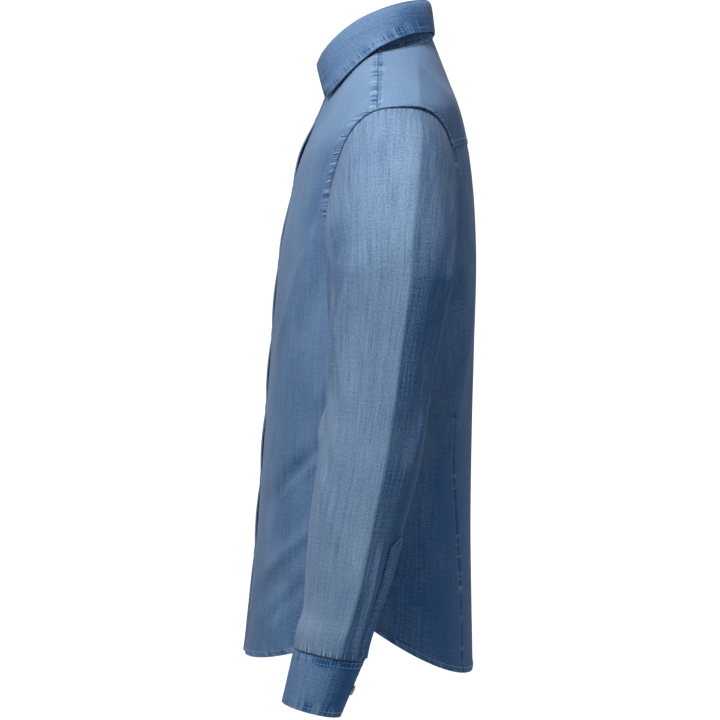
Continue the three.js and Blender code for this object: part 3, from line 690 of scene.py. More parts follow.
def relieved(grid, reliefs, wrap=False):
    """Moves a grid out by the sum of its reliefs, and gives the marks that its material reads."""
    lifts, wear_and_shading_layers, crimps, places = (
        np.stack([np.broadcast_to(relief[k], grid.shape[:2]) for relief in reliefs]) for k in range(4))
    normals = grid_normals(grid, wrap)
    # Paler towards the key light: partly washing fade, partly painted light
    facing = np.abs(normals[..., 0]) * FADE_AND_LIGHT_FACING[0] + normals[..., 1:] @ FADE_AND_LIGHT_FACING[1:]
    nearest = np.argmax(crimps, axis=0)[None]
    marks = {
        "wear_and_shading": wear_and_shading_layers.sum(axis=0) + FADE_AND_LIGHT * (facing - FADE_AND_LIGHT_LEVEL),
        "crimp": np.take_along_axis(crimps, nearest, 0)[0],
        "seam": np.take_along_axis(places, nearest, 0)[0] * METRE,
    }
    return grid + normals * lifts.sum(axis=0)[..., None], marks


def front_grid(side):
    edge_around, edge_run, centre_run = panel_rows(FRONT_STRETCHES)
    t = spaced(66)[None, :]
    centre_around = around_at_x(np.full_like(centre_run, -side * LAP_HALF_WIDTH), centre_run)
    around = mix(centre_around[:, None], side * edge_around[:, None], t)
    run = mix(centre_run[:, None], edge_run[:, None], t)
    grid = front_point(side, around, run)
    if side < 0:
        grid = grid[:, ::-1]
        around = around[:, ::-1]
        run = run[:, ::-1]
    return grid, around, run


def back_columns(stretches, count, dart_share):
    """Columns of a back panel; one of them on each side keeps to the dart's line."""
    edge_around, edge_run, centre_run = panel_rows(stretches)
    half = np.linspace(0, 1, count)
    pull = 0.75 * np.exp(-(((half - 0.5) / 0.16) ** 2))
    weight = 1 / (1 - pull)
    density = np.concatenate([[0], np.cumsum((weight[1:] + weight[:-1]) / 2)])
    half = np.interp(np.linspace(0, density[-1], count), density, half)
    low = half / 0.5 * dart_share[:, None]
    high = mix(dart_share[:, None], 1, (half - 0.5) / 0.5)
    t = np.where(half < 0.5, low, high)
    right = 2 - t * (2 - edge_around[:, None])
    run = mix(centre_run[:, None], edge_run[:, None], t)
    around = np.concatenate([right[:, :0:-1], 4 - right], axis=1)
    run = np.concatenate([run[:, :0:-1], run], axis=1)
    return around, run


def dart_x(z):
    return sample(DARTS, "down", np.clip(-z, DARTS["down"][0], DARTS["down"][-1]))["x"]


def dart_shares():
    edge_around, edge_run, centre_run = panel_rows(BACK_STRETCHES)
    share = np.full_like(edge_run, 0.6)
    for _ in range(6):
        run = mix(centre_run, edge_run, share)
        z = body_base(2 - share * (2 - edge_around), run)[..., 2]
        share = solve(lambda q: body_base(2 - q, run)[..., 0], dart_x(z), 0, 1)
    return share


def armhole_tuck(grid, sides):
    """A deep tuck of the body against the back of each armhole, with painted shade that darkens the
    cloth fully inside it.
    """
    distance = np.minimum(sides[0][0], sides[1][0])
    tuck_shape = np.exp(-((distance / 2) ** 2) - ((grid[..., 2] - TUCK_Z) / TUCK_HALF_HEIGHT) ** 2)
    tuck_shape = tuck_shape * (grid[..., 1] > 40)
    # painted shade: the tuck's slit is darkened fully
    return -TUCK_DEPTH * tuck_shape, -tuck_shape, 0 * distance, 0 * distance


def back_grid():
    around, run = back_columns(BACK_STRETCHES, 84, dart_shares())
    return body_point(around, run), around, run


def yoke_grid():
    edge_around, edge_run, centre_run = panel_rows(YOKE_STRETCHES)
    across = 2 * spaced(190, 0.3) - 1
    edge = np.where(across < 0, edge_around[:, None], 4 - edge_around[:, None])
    around = mix(2, edge, np.abs(across))
    run = mix(centre_run[:, None], edge_run[:, None], np.abs(across))
    return body_point(around, run), around, run


# Meshes

def link(name, data):
    thing = bpy.data.objects.new(name, data)
    bpy.context.scene.collection.objects.link(thing)
    return thing


def mesh_object(name, vertices, faces, uv=None, attributes=None):
    mesh = bpy.data.meshes.new(name)
    mesh.vertices.add(len(vertices))
    mesh.vertices.foreach_set("co", (np.asarray(vertices) * METRE).astype(np.float32).ravel())
    mesh.loops.add(faces.size)
    mesh.loops.foreach_set("vertex_index", faces.astype(np.int32).ravel())
    mesh.polygons.add(len(faces))
    mesh.polygons.foreach_set("loop_start", np.arange(0, faces.size, faces.shape[1], dtype=np.int32))
    mesh.update(calc_edges=True)
    if uv is not None:
        layer = mesh.uv_layers.new(name="cloth")
        layer.data.foreach_set("uv", (uv * METRE).astype(np.float32).ravel())
    for key, values in (attributes or {}).items():
        attribute = mesh.attributes.new(key, "FLOAT", "POINT")
        attribute.data.foreach_set("value", values.astype(np.float32).ravel())
    mesh.shade_smooth()
    mesh.set_sharp_from_angle(angle=SHARP_ANGLE)
    return link(name, mesh)


def mesh_of_lists(name, vertices, faces, material):
    mesh = bpy.data.meshes.new(name)
    mesh.from_pydata((vertices * METRE).tolist(), [], faces)
    mesh.shade_smooth()
    mesh.materials.append(material)
    return link(name, mesh)


def cloth_shell(name, grid, thickness, u, v, marks, wrap=False):
    """A closed thin shell: the outer skin, a skin moved in, and rims between them."""
    rows, columns = grid.shape[:2]
    inner = grid - grid_normals(grid, wrap) * thickness
    last = columns if wrap else columns - 1
    r, c = (a.ravel() for a in np.meshgrid(np.arange(rows - 1), np.arange(last), indexing="ij"))
    top = np.arange(last)
    side = np.arange(rows - 1)
    first, end = 0 * top, 0 * top + rows - 1
    corners = [
        ((r, r + 1, r + 1, r), (c, c, c + 1, c + 1), (0, 0, 0, 0)),
        ((r, r + 1, r + 1, r), (c + 1, c + 1, c, c), (1, 1, 1, 1)),
        ((first, first, first, first), (top, top + 1, top + 1, top), (0, 0, 1, 1)),
        ((end, end, end, end), (top + 1, top, top, top + 1), (0, 0, 1, 1)),
    ]
    if not wrap:
        left, right = 0 * side, 0 * side + columns - 1
        corners.append(((side + 1, side, side, side + 1), (left, left, left, left), (0, 0, 1, 1)))
        corners.append(((side, side + 1, side + 1, side), (right, right, right, right), (0, 0, 1, 1)))
    faces, uvs = [], []
    for face_rows, face_columns, layers in corners:
        rr = np.stack(face_rows, axis=1)
        cc = np.stack(face_columns, axis=1)
        ll = np.array(layers)[None, :]
        faces.append(ll * rows * columns + rr * columns + cc % columns)
        uvs.append(np.stack([u[rr, cc], v[rr, cc]], axis=-1).reshape(-1, 2))
    vertices = np.concatenate([grid.reshape(-1, 3), inner.reshape(-1, 3)])
    attributes = {key: np.concatenate([mark.ravel(), 0 * mark.ravel()]) for key, mark in marks.items()}
    attributes["reverse"] = np.repeat([0, 1], rows * columns)
    return mesh_object(name, vertices, np.concatenate(faces), np.concatenate(uvs), attributes)


def place_cloth(node, slot, grid, thickness, u, v, marks, wrap=False):
    """A sheet of cloth that shows in place of its CAD piece."""
    thing = cloth_shell(node + "_cloth", grid, thickness, u, v, marks, wrap)
    thing.data.materials.append(finish_of[slot])
    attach(thing, "root")
    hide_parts(node)


# Stitches

stitch_rows = {"body": [], "sleeves": [], "trim": []}


def row_at(grid, distance, value, axis=1, start=0.0, stop=1.0):
    """The line in a grid at one distance from an edge, with its normals."""
    normals = grid_normals(grid)
    if axis == 0:
        grid, normals, distance = (np.swapaxes(a, 0, 1) for a in (grid, normals, distance))
    points, facings = [], []
    count = len(grid)
    for row in range(int(start * count), max(int(stop * count), 1)):
        order = np.argsort(distance[row])
        known = distance[row][order]
        if known[-1] < value:
            continue
        points.append([np.interp(value, known, grid[row][order, k]) for k in range(3)])
        facings.append([np.interp(value, known, normals[row][order, k]) for k in range(3)])
    return np.array(points), unit(np.array(facings))


def sew(group, points, facings, pitch=STITCH_PITCH):
    steps = np.linalg.norm(np.diff(points, axis=0), axis=1)
    length = np.concatenate([[0], np.cumsum(steps)])
    wanted = np.arange(pitch / 2, length[-1] - pitch / 2, pitch)
    if len(wanted) == 0:
        return
    at = [np.stack([np.interp(wanted + shift, length, points[:, k]) for k in range(3)], axis=-1)
          for shift in (-0.6, 0, 0.6)]
    facing = unit(np.stack([np.interp(wanted, length, facings[:, k]) for k in range(3)], axis=-1))
    stitch_rows[group].append((at[1], unit(at[2] - at[0]), facing))


def mirror_rows(rows):
    return [tuple(vectors * MIRROR for vectors in row) for row in rows]


def stitch_object(name, rows):
    """Many small rounded stitches in one mesh: each has two rings of points and two sunken tips."""
    sides = 5
    turns = np.arange(sides) * 2 * math.pi / sides
    ring = np.stack([0 * turns, np.cos(turns), np.sin(turns)], axis=-1)
    ring_out = np.array((0.62, 0, 0))
    template = np.concatenate([[(-1, 0, -0.5)], ring - ring_out, ring + ring_out, [(1, 0, -0.5)]])
    first = np.arange(sides) + 1
    after = np.arange(1, sides + 1) % sides + 1
    last = 0 * first + 2 * sides + 1
    near_tip = np.stack([0 * first, after, first], axis=1)
    far_tip = np.stack([last, first + sides, after + sides], axis=1)
    caps = np.concatenate([near_tip, far_tip])
    body = np.stack([first, after, after + sides, first + sides], axis=1)
    point, along, facing = (np.concatenate([row[i] for row in rows]) for i in range(3))
    side = unit(np.cross(facing, along))
    facing = np.cross(along, side)
    offsets = (template[None, :, 0:1] * along[:, None] * STITCH_LENGTH / 2
               + template[None, :, 1:2] * side[:, None] * STITCH_WIDTH / 2
               + template[None, :, 2:3] * facing[:, None] * STITCH_HEIGHT / 2)
    vertices = (point[:, None] + facing[:, None] * STITCH_STAND_OFF + offsets).reshape(-1, 3)
    start = (np.arange(len(point)) * len(template))[:, None, None]
    quads = (body[None] + start).reshape(-1, 4)
    tips = (caps[None] + start).reshape(-1, 3)
    thing = mesh_of_lists(name, vertices, quads.tolist() + tips.tolist(), finish_of["thread"])
    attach(thing, "root")


# Materials

def node_of(tree, kind, **settings):
    node = tree.nodes.new(kind)
    for key, value in settings.items():
        setattr(node, key, value)
    return node


def fill_socket(tree, socket, value):
    if isinstance(value, bpy.types.NodeSocket):
        tree.links.new(value, socket)
    elif isinstance(value, tuple) and socket.type == "RGBA":
        socket.default_value = (*value, 1)
    else:
        socket.default_value = value


def math_of(tree, operation, *values):
    node = node_of(tree, "ShaderNodeMath", operation=operation)
    for socket, value in zip(node.inputs, values):
        fill_socket(tree, socket, value)
    return node.outputs[0]


def mix_colour(tree, factor, a, b):
    node = node_of(tree, "ShaderNodeMix", data_type="RGBA")
    fill_socket(tree, node.inputs[0], factor)
    fill_socket(tree, node.inputs[6], a)
    fill_socket(tree, node.inputs[7], b)
    return node.outputs[2]


def mark_of(tree, name):
    return node_of(tree, "ShaderNodeAttribute", attribute_name=name).outputs["Fac"]


def bump_of(tree, height, strength, distance):
    bump = node_of(tree, "ShaderNodeBump")
    bump.inputs["Strength"].default_value = strength
    bump.inputs["Distance"].default_value = distance
    tree.links.new(height, bump.inputs["Height"])
    return bump.outputs[0]


def new_material(name):
    material = bpy.data.materials.new(name)
    material.use_nodes = True
    return material, material.node_tree, material.node_tree.nodes["Principled BSDF"]


def noise_of(tree, vector, scale, detail=2.0, roughness=0.5):
    mapping = node_of(tree, "ShaderNodeMapping")
    mapping.inputs["Scale"].default_value = scale
    tree.links.new(vector, mapping.inputs["Vector"])
    noise = node_of(tree, "ShaderNodeTexNoise")
    noise.inputs["Scale"].default_value = 1
    noise.inputs["Detail"].default_value = detail
    noise.inputs["Roughness"].default_value = roughness
    tree.links.new(mapping.outputs[0], noise.inputs["Vector"])
    return noise.outputs[0]


# Shares of the denim's grain, the rungs beside its seams, and the waist's distance in metres
GRAIN = 1.0
RUNG_SCALE = 460
RUNG_COLOUR = 5
RUNG_HEIGHT = 8
WAIST_DOWN = 0.35


def denim(name, dark, pale, streak=0.5, weft=0.25, mottle=0.5, wear_and_shading=1.2, middle=0.4, rise=0.0):
    """Denim: dark warp over pale weft, with streaks along the warp, soft washing, and worn puckers,
    painted shade and painted light from the marks on the mesh.

    middle is how pale it is on average, and rise how much paler it is painted at the shoulders than at
    the waist: painted light, as the light from above falls off downwards.
    """
    material, tree, shader = new_material(name)
    uv = node_of(tree, "ShaderNodeUVMap", uv_map="cloth").outputs[0]
    place = node_of(tree, "ShaderNodeTexCoord").outputs["Object"]
    along = node_of(tree, "ShaderNodeCombineXYZ")
    tree.links.new(mark_of(tree, "seam"), along.inputs[0])
    rungs = math_of(tree, "SUBTRACT", noise_of(tree, along.outputs[0], (RUNG_SCALE, 1, 1), 1), 0.5)
    rungs = math_of(tree, "MULTIPLY", rungs, mark_of(tree, "crimp"))
    warp_lines = noise_of(tree, uv, (900, 22, 1), 3, 0.65)
    warp_wide = noise_of(tree, uv, (260, 6, 1), 2)
    weft_lines = noise_of(tree, uv, (40, 800, 1), 2)
    grain = noise_of(tree, uv, (560, 560, 1), 3, 0.7)
    washed = noise_of(tree, place, (11, 11, 8), 3)
    level = middle - (streak * 1.4 + weft + mottle + GRAIN) / 2 + rise
    factor = math_of(tree, "MULTIPLY_ADD", warp_lines, streak, level)
    above = node_of(tree, "ShaderNodeSeparateXYZ")
    tree.links.new(place, above.inputs[0])
    shares = (
        (warp_wide, streak * 0.4),
        (weft_lines, weft),
        (grain, GRAIN),
        (washed, mottle),
        (mark_of(tree, "wear_and_shading"), wear_and_shading),
        (rungs, RUNG_COLOUR),
        # painted light: a gradient in height, set by rise
        (above.outputs[2], rise / WAIST_DOWN),
    )
    for value, amount in shares:
        factor = math_of(tree, "ADD", factor, math_of(tree, "MULTIPLY", value, amount))
    factor = math_of(tree, "MAXIMUM", math_of(tree, "MINIMUM", factor, 1.0), 0.0)
    colour = mix_colour(tree, factor, dark, pale)
    inside = tuple(mix(a, b, 0.75) * 0.9 + 0.03 for a, b in zip(dark, pale))
    colour = mix_colour(tree, mark_of(tree, "reverse"), colour, inside)
    tree.links.new(colour, shader.inputs["Base Color"])
    twill = node_of(tree, "ShaderNodeTexWave", wave_type="BANDS", bands_direction="X")
    turned = node_of(tree, "ShaderNodeMapping")
    turned.inputs["Rotation"].default_value = (0, 0, math.radians(58))
    tree.links.new(uv, turned.inputs["Vector"])
    tree.links.new(turned.outputs[0], twill.inputs["Vector"])
    twill.inputs["Scale"].default_value = 190
    twill.inputs["Distortion"].default_value = 0.6
    height = math_of(tree, "ADD", math_of(tree, "MULTIPLY", twill.outputs["Fac"], 0.35), warp_lines)
    height = math_of(tree, "ADD", height, math_of(tree, "MULTIPLY", weft_lines, 0.4))
    height = math_of(tree, "ADD", height, math_of(tree, "MULTIPLY", rungs, RUNG_HEIGHT))
    tree.links.new(bump_of(tree, height, 0.45, 0.0005), shader.inputs["Normal"])
    rough = math_of(tree, "ADD", math_of(tree, "MULTIPLY", weft_lines, 0.12), 0.8)
    tree.links.new(rough, shader.inputs["Roughness"])
    shader.inputs["Sheen Weight"].default_value = 0.06
    shader.inputs["Sheen Roughness"].default_value = 0.45
    shader.inputs["Specular IOR Level"].default_value = 0.12
    return material


def plain(name, dark, pale, roughness, scale=(900, 900, 900), bump_depth=0.0001):
    """A lightly mottled finish for thread and buttons."""
    material, tree, shader = new_material(name)
    place = node_of(tree, "ShaderNodeTexCoord").outputs["Object"]
    grain = noise_of(tree, place, scale, 2)
    tree.links.new(mix_colour(tree, grain, dark, pale), shader.inputs["Base Color"])
    tree.links.new(bump_of(tree, grain, 0.3, bump_depth), shader.inputs["Normal"])
    shader.inputs["Roughness"].default_value = roughness
    return material


finish_of = {
    "denim_body": denim("denim_body", (0.01, 0.053, 0.15), (0.19, 0.29, 0.425), middle=0.3, rise=0.12),
    # The sleeves' finish is paler and greyer than the body's: painted light for the stronger light and
    # sheen on the sleeves
    "denim_sleeve": denim("denim_sleeve", (0.014, 0.058, 0.15), (0.24, 0.33, 0.45), streak=0.8,
                          middle=0.31, rise=-0.08),
    "denim_trim": denim("denim_trim", (0.01, 0.053, 0.15), (0.19, 0.29, 0.43), wear_and_shading=1.3, middle=0.2),
    "thread": plain("thread", (0.09, 0.17, 0.3), (0.26, 0.36, 0.5), 0.7),
    "button": plain("button", (0.13, 0.19, 0.28), (0.22, 0.29, 0.38), 0.4, (160, 160, 160), 0.00005),
}


# Body pieces

def blend(steps):
    """Goes from 0 to 1 over two rows of a grid."""
    return ease(steps / 2 + 0.5)


def make_front(side, node):
    grid, around, run = front_grid(side)
    outer, inner = ("right", "left") if side > 0 else ("left", "right")
    from_side = from_edge(grid, outer)
    from_hem = from_edge(grid, "bottom")
    from_centre = from_edge(grid, inner)
    rows = len(grid)
    shoulder_end = FRONT_STRETCHES[0][0]
    armhole_end = shoulder_end + FRONT_STRETCHES[1][0]
    row = np.arange(rows)[:, None]
    at_armhole = blend(row - shoulder_end) * blend(armhole_end - row)
    shoulder = seam_relief(*from_side, 11, rows=(SHOULDER_ROW,), welt=0.5, pucker=0.5, reach=5, length=5)
    armhole = seam_relief(*from_side, 21, rows=(ARMHOLE_ROW,), welt=0.7, pucker=0.8, reach=6, length=6)
    down_side = seam_relief(*from_side, 31, rows=DOUBLE_ROWS, welt=0.5, pucker=0.3)
    grid, marks = relieved(grid, [
        weigh(blend(shoulder_end - row), shoulder),
        weigh(at_armhole, armhole),
        weigh(blend(row - armhole_end), down_side),
        seam_relief(*from_hem, 41, **HEM_SEAM),
        seam_relief(*from_centre, 51, rows=(3,), ditch=0, pucker=0.12),
    ])
    place_cloth(node, "denim_body", grid, CLOTH, around * FOLD_SCALE, run, marks)
    stretches = (
        (SHOULDER_ROW, 0, shoulder_end / rows),
        (ARMHOLE_ROW, shoulder_end / rows, armhole_end / rows),
        (DOUBLE_ROWS[0], armhole_end / rows, 1),
        (DOUBLE_ROWS[1], armhole_end / rows, 1),
    )
    for value, start, stop in stretches:
        sew("body", *row_at(grid, from_side[0], value, 1, start, stop))
    sew("body", *row_at(grid, from_hem[0], EDGE_ROW, 0))


def dart_relief(grid, side, seed):
    """The sewn line of one long back dart, with its small puckers."""
    z = grid[..., 2]
    across = (np.abs(grid[..., 0]) - dart_x(z)) * 0.85
    here = (np.sign(grid[..., 0]) == side) * ease((-z - 395) / 40)
    waves = value_noise(-z / 3.6, seed) * np.exp(-((across / 5) ** 2))
    lift = -DART_DEPTH * np.exp(-((across / DART_WIDTH) ** 2)) + 0.4 * waves
    wear_and_shading = 0.4 * waves - 0.25 * np.exp(-((across / 1.4) ** 2))
    crimp = 0.35 * np.exp(-((across / 4) ** 2))
    return weigh(here, (lift, wear_and_shading, crimp, -z))


def make_back():
    grid, around, run = back_grid()
    sides = [from_edge(grid, "left"), from_edge(grid, "right")]
    from_hem = from_edge(grid, "bottom")
    armhole_end = BACK_STRETCHES[0][0]
    at_armhole = blend(armhole_end - np.arange(len(grid))[:, None])
    reliefs = [
        seam_relief(*from_hem, 61, **HEM_SEAM),
        seam_relief(*from_edge(grid, "top"), 63, welt=-0.3, pucker=0.25),
    ]
    for seed, from_side in zip((65, 67), sides):
        reliefs.append(weigh(at_armhole, seam_relief(*from_side, seed, **BACK_ARMHOLE_SEAM)))
        reliefs.append(weigh(1 - at_armhole, seam_relief(*from_side, seed + 1, welt=-0.2, pucker=0.2)))
    reliefs += [dart_relief(grid, 1, 71), dart_relief(grid, -1, 75), armhole_tuck(grid, sides)]
    grid, marks = relieved(grid, reliefs)
    place_cloth("back", "denim_body", grid, CLOTH, around * FOLD_SCALE, run, marks)
    for distance, _ in sides:
        sew("body", *row_at(grid, distance, ARMHOLE_ROW, 1, 0, armhole_end / len(grid)))
    sew("body", *row_at(grid, from_hem[0], EDGE_ROW, 0))


def yoke_press(grid):
    """The line pressed into the yoke, and painted shade on the cloth behind it."""
    behind = grid[..., 1] - PRESS_Y
    lift = PRESS_LIFT * np.exp(-(np.sqrt(behind ** 2 + 1) - 1) / PRESS_WIDTH)
    # painted shade behind the pressed line
    wear_and_shading = -PRESS_SHADE * ease(behind / 3 + 0.5)
    return weigh(ease((np.abs(grid[..., 0]) - 84) / 20), (lift, wear_and_shading, 0, 0))


def make_yoke():
    grid, around, run = yoke_grid()
    sides = [from_edge(grid, "left"), from_edge(grid, "right")]
    from_back = from_edge(grid, "bottom")
    shoulder_end = YOKE_STRETCHES[0][0]
    at_shoulder = blend(shoulder_end - np.arange(len(grid))[:, None])
    reliefs = [
        seam_relief(*from_back, 81, rows=DOUBLE_ROWS, welt=0.5, pucker=0.35),
        seam_relief(*from_edge(grid, "top"), 83, pucker=0.2),
    ]
    for seed, from_side in zip((85, 87), sides):
        shoulder = seam_relief(*from_side, seed, rows=(3,), pucker=0.45, reach=4, length=5)
        reliefs.append(weigh(at_shoulder, shoulder))
        reliefs.append(weigh(1 - at_shoulder, seam_relief(*from_side, seed + 1, **BACK_ARMHOLE_SEAM)))
    reliefs += [yoke_press(grid), armhole_tuck(grid, sides)]
    grid, marks = relieved(grid, reliefs)
    place_cloth("yoke", "denim_body", grid, CLOTH, around * FOLD_SCALE, run, marks)
    for distance, _ in sides:
        sew("body", *row_at(grid, distance, ARMHOLE_ROW, 1, shoulder_end / len(grid), 1))
    for value in DOUBLE_ROWS:
        sew("body", *row_at(grid, from_back[0], value, 0))


def make_band():
    """The front band on the right front; its grid is where the buttons sit."""
    share = np.linspace(-1, 1, 22)[None, :]
    run = np.maximum(panel_rows(FRONT_STRETCHES)[2], BAND_TOP_RUN)[:, None] + 0 * share
    around = around_at_x(share * (LAP_HALF_WIDTH - 0.2) + 0 * run, run)
    grid = front_point(-1, around, run, BAND_HEIGHT)
    edges = [from_edge(grid, "left"), from_edge(grid, "right")]
    reliefs = [seam_relief(*edge, seed, rows=(EDGE_ROW,), ditch=0.3, pucker=0.2, reach=3)
               for seed, edge in zip((91, 93), edges)]
    from_hem = from_edge(grid, "bottom")
    reliefs.append(seam_relief(*from_hem, 95, rows=(EDGE_ROW,), welt=0.4, ditch=0, pucker=0.3))
    grid, marks = relieved(grid, reliefs)
    u = around * FOLD_SCALE
    place_cloth("front_band", "denim_trim", grid, BAND_CLOTH, u, run, marks)
    for distance, _ in edges:
        sew("trim", *row_at(grid, distance, EDGE_ROW, 1))
    return grid


# Sleeve, cuff and placket of the left arm: each sheet is its grid, marks and cloth coordinates

def sleeve_painted_shade(angle, along):
    """How much painted shade darkens the cloth behind the pressed crease and before the front ridge."""
    turned = np.arctan2(np.sin(angle), np.cos(angle)) + 0 * along
    behind_crease = ease((CREASE_ANGLE - turned) / 0.03) * ease((turned + 2.2) / 0.5)
    ridge_angle = np.interp(along, (165, 296), (math.radians(34), math.radians(67)))
    before_ridge = ease((turned - ridge_angle) / 0.06) * ease((2.6 - turned) / 1.2)
    before_ridge = before_ridge * ease((along - 60) / 120) * ease((400 - along) / 120)
    return SHADE_BEHIND_CREASE * behind_crease + SHADE_BEFORE_RIDGE * before_ridge


def sleeve_sheet():
    along = np.interp(np.linspace(0, 1, 236), (0, 0.1, 0.88, 1), (0, 26, 530, SLEEVE_LENGTH))[:, None]
    column = np.arange(SLEEVE_COLUMNS)[None, :]
    angle = CREASE_ANGLE - 2 * math.pi * column / SLEEVE_COLUMNS
    share = column / SLEEVE_COLUMNS + 0 * along
    grid = sleeve_point(angle, along)
    head = seam_relief(along + 0 * angle, share * HEAD_GIRTH, 101, ditch=0.8, pucker=0.2, reach=9)
    foot = seam_relief(SLEEVE_LENGTH - along + 0 * angle, share * WRIST_GIRTH, 103,
                       ditch=0.5, pucker=0.4, reach=10, length=9)
    grid, marks = relieved(grid, [head, foot], wrap=True)
    # painted shade behind the crease and before the ridge
    marks["wear_and_shading"] -= sleeve_painted_shade(angle, along)
    turns = np.arange(SLEEVE_COLUMNS + 1) / SLEEVE_COLUMNS * 2 * math.pi * ARM_RADIUS
    u = turns[None, :] + 0 * along
    return grid, marks, u, along + 0 * u


def cuff_sheet():
    distance = (CUFF_LENGTH * spaced(230, 0.3))[None, :]
    from_end = np.minimum(distance, CUFF_LENGTH - distance)
    in_corner = np.maximum(CUFF_CORNER - from_end, 0)
    raise_by = CUFF_CORNER - np.sqrt(CUFF_CORNER ** 2 - in_corner ** 2)
    depth = (1 - 0.92 * raise_by / CUFF_HEIGHT) * np.linspace(0, 1, 44)[:, None]
    grid = cuff_point(distance, depth)
    top, bottom, left, right = (from_edge(grid, edge) for edge in ("top", "bottom", "left", "right"))
    grid, marks = relieved(grid, [
        seam_relief(*top, 111, rows=DOUBLE_ROWS, ditch=0.3, pucker=0.45, reach=7, length=7),
        seam_relief(*bottom, 113, rows=(CUFF_ROW,), ditch=0, pucker=0.4, reach=6, length=7),
        seam_relief(*left, 115, rows=(CUFF_ROW,), ditch=0, pucker=0.3, reach=5),
        seam_relief(*right, 115, rows=(CUFF_ROW,), ditch=0, pucker=0.3, reach=5),
    ])
    for value, edge, axis in ((DOUBLE_ROWS[0], top, 0), (DOUBLE_ROWS[1], top, 0), (CUFF_ROW, bottom, 0),
                              (CUFF_ROW, left, 1), (CUFF_ROW, right, 1)):
        sew("sleeves", *row_at(grid, edge[0], value, axis, 0.02, 0.98))
    return grid, marks, distance + 0 * depth, CUFF_HEIGHT * depth


def placket_sheet():
    top = SLEEVE_LENGTH - PLACKET_LENGTH
    down = np.linspace(0, 1, 70)[:, None]
    share = np.linspace(-1, 1, 20)[None, :]
    along = mix(top + PLACKET_POINT * np.abs(share), SLEEVE_LENGTH - 3, down)
    angle = PLACKET_ANGLE - share * PLACKET_HALF_WIDTH / 44 + 0 * down
    grid = sleeve_point(angle, along, PLACKET_HEIGHT + 0 * along)
    reliefs = [seam_relief(*from_edge(grid, edge), 107, rows=(PLACKET_ROW,), ditch=0.3, pucker=0.15)
               for edge in ("left", "right", "top")]
    grid, marks = relieved(grid, reliefs)
    marks["wear_and_shading"] += PLACKET_WEAR
    for edge, axis in (("left", 1), ("right", 1), ("top", 0)):
        sew("sleeves", *row_at(grid, from_edge(grid, edge)[0], PLACKET_ROW, axis, 0.02, 0.98))
    return grid, marks, share * PLACKET_HALF_WIDTH + 0 * along, along


def mirror_sheet(grid, marks, u, v):
    marks = {key: mark[:, ::-1] for key, mark in marks.items()}
    return (grid * MIRROR)[:, ::-1], marks, u[:, ::-1], v[:, ::-1]


# Collar pieces

def make_leaf():
    share = np.linspace(1, -1, 250)[None, :]
    down = np.concatenate([
        np.linspace(-2, -1, 4, endpoint=False),
        np.linspace(-1, 0, 9, endpoint=False),
        np.linspace(0, 0.12, 6, endpoint=False),
        np.linspace(0.12, 1, 34),
    ])[:, None]
    grid = leaf_point(share + 0 * down, down + 0 * share)
    from_low = from_edge(grid, "bottom")
    ends = [from_edge(grid, "left"), from_edge(grid, "right")]
    reliefs = [seam_relief(*from_low, 121, rows=(EDGE_ROW,), ditch=0, pucker=0.35, reach=6, length=7)]
    for end in ends:
        reliefs.append(seam_relief(*end, 123, rows=(EDGE_ROW,), ditch=0, pucker=0.3, reach=6, length=7))
    outside = ease(down * 8)
    grid, marks = relieved(grid, [weigh(outside, relief) for relief in reliefs])
    fall = from_edge(grid, "top")[0]
    along = np.linspace(0, 330, 250)[None, :] + 0 * down
    place_cloth("collar_leaf", "denim_trim", grid, COLLAR_CLOTH, fall, along, marks)
    sew("trim", *row_at(grid, from_low[0], EDGE_ROW, 0, 0.012, 0.988))
    for distance, _ in ends:
        sew("trim", *row_at(grid, distance, EDGE_ROW, 1, 0.36, 0.9))


def make_stand():
    place = np.linspace(-STAND_OVERHANG, 4 + STAND_OVERHANG, 250)[None, :]
    rise = np.linspace(1, 0, 18)[:, None]
    grid = stand_point(place + 0 * rise, rise + 0 * place)
    from_low = from_edge(grid, "bottom")
    low_seam = seam_relief(*from_low, 131, rows=(STAND_ROW,), ditch=0, pucker=0.25, reach=4)
    grid, marks = relieved(grid, [low_seam])
    u = (1 - rise) * 40 + 0 * place
    v = place * 100 + 0 * rise
    place_cloth("collar_stand", "denim_trim", grid, COLLAR_CLOTH, u, v, marks)
    sew("trim", *row_at(grid, from_low[0], STAND_ROW, 0, 0.01, 0.99))
    return grid


make_front(1, "front_left")
make_front(-1, "front_right")
make_back()
make_yoke()
band = make_band()
sleeve = sleeve_sheet()
cuff = cuff_sheet()
placket = placket_sheet()
stitch_rows["sleeves"] += mirror_rows(stitch_rows["sleeves"])
for arm in ("left", "right"):
    on_sleeve = [f"sleeve_{arm}_cloth"]
    arm_pieces = (
        ("sleeve", sleeve, CLOTH, "denim_sleeve", ["yoke_cloth"]),
        ("sleeve_placket", placket, PLACKET_CLOTH, "denim_trim", on_sleeve),
        ("cuff", cuff, CUFF_CLOTH, "denim_trim", on_sleeve),
    )
    for kind, sheet, thickness, slot, rests_on in arm_pieces:
        grid, marks, u, v = sheet if arm == "left" else mirror_sheet(*sheet)
        place_cloth(f"{kind}_{arm}", slot, grid, thickness, u, v, marks, kind == "sleeve")
make_leaf()
stand = make_stand()


# Buttons

# Radius and height of a button from the middle of its face over the rim to its back
BUTTON_PROFILE = (
    (0, 1.5), (0.5, 1.5), (0.9, 1.5), (1.3, 1.5), (1.7, 1.5), (2.1, 1.5), (2.5, 1.5), (2.9, 1.52),
    (3.3, 1.6), (3.7, 1.85), (4.1, 2.1), (4.5, 2.2), (4.9, 2.16), (5.3, 1.95), (5.55, 1.55),
    (5.6, 1.1), (5.45, 0.6), (5.1, 0.2), (4.6, 0.02), (0, 0),
)
BUTTON_SIDES = 56
BUTTON_WELL_RADIUS = 3
BUTTON_LIFT = 0.1
HOLE_OUT = 1.25
HOLE_RADIUS = 0.75
HOLE_DEPTH = 1.3
THREAD_HEIGHT = 1.62


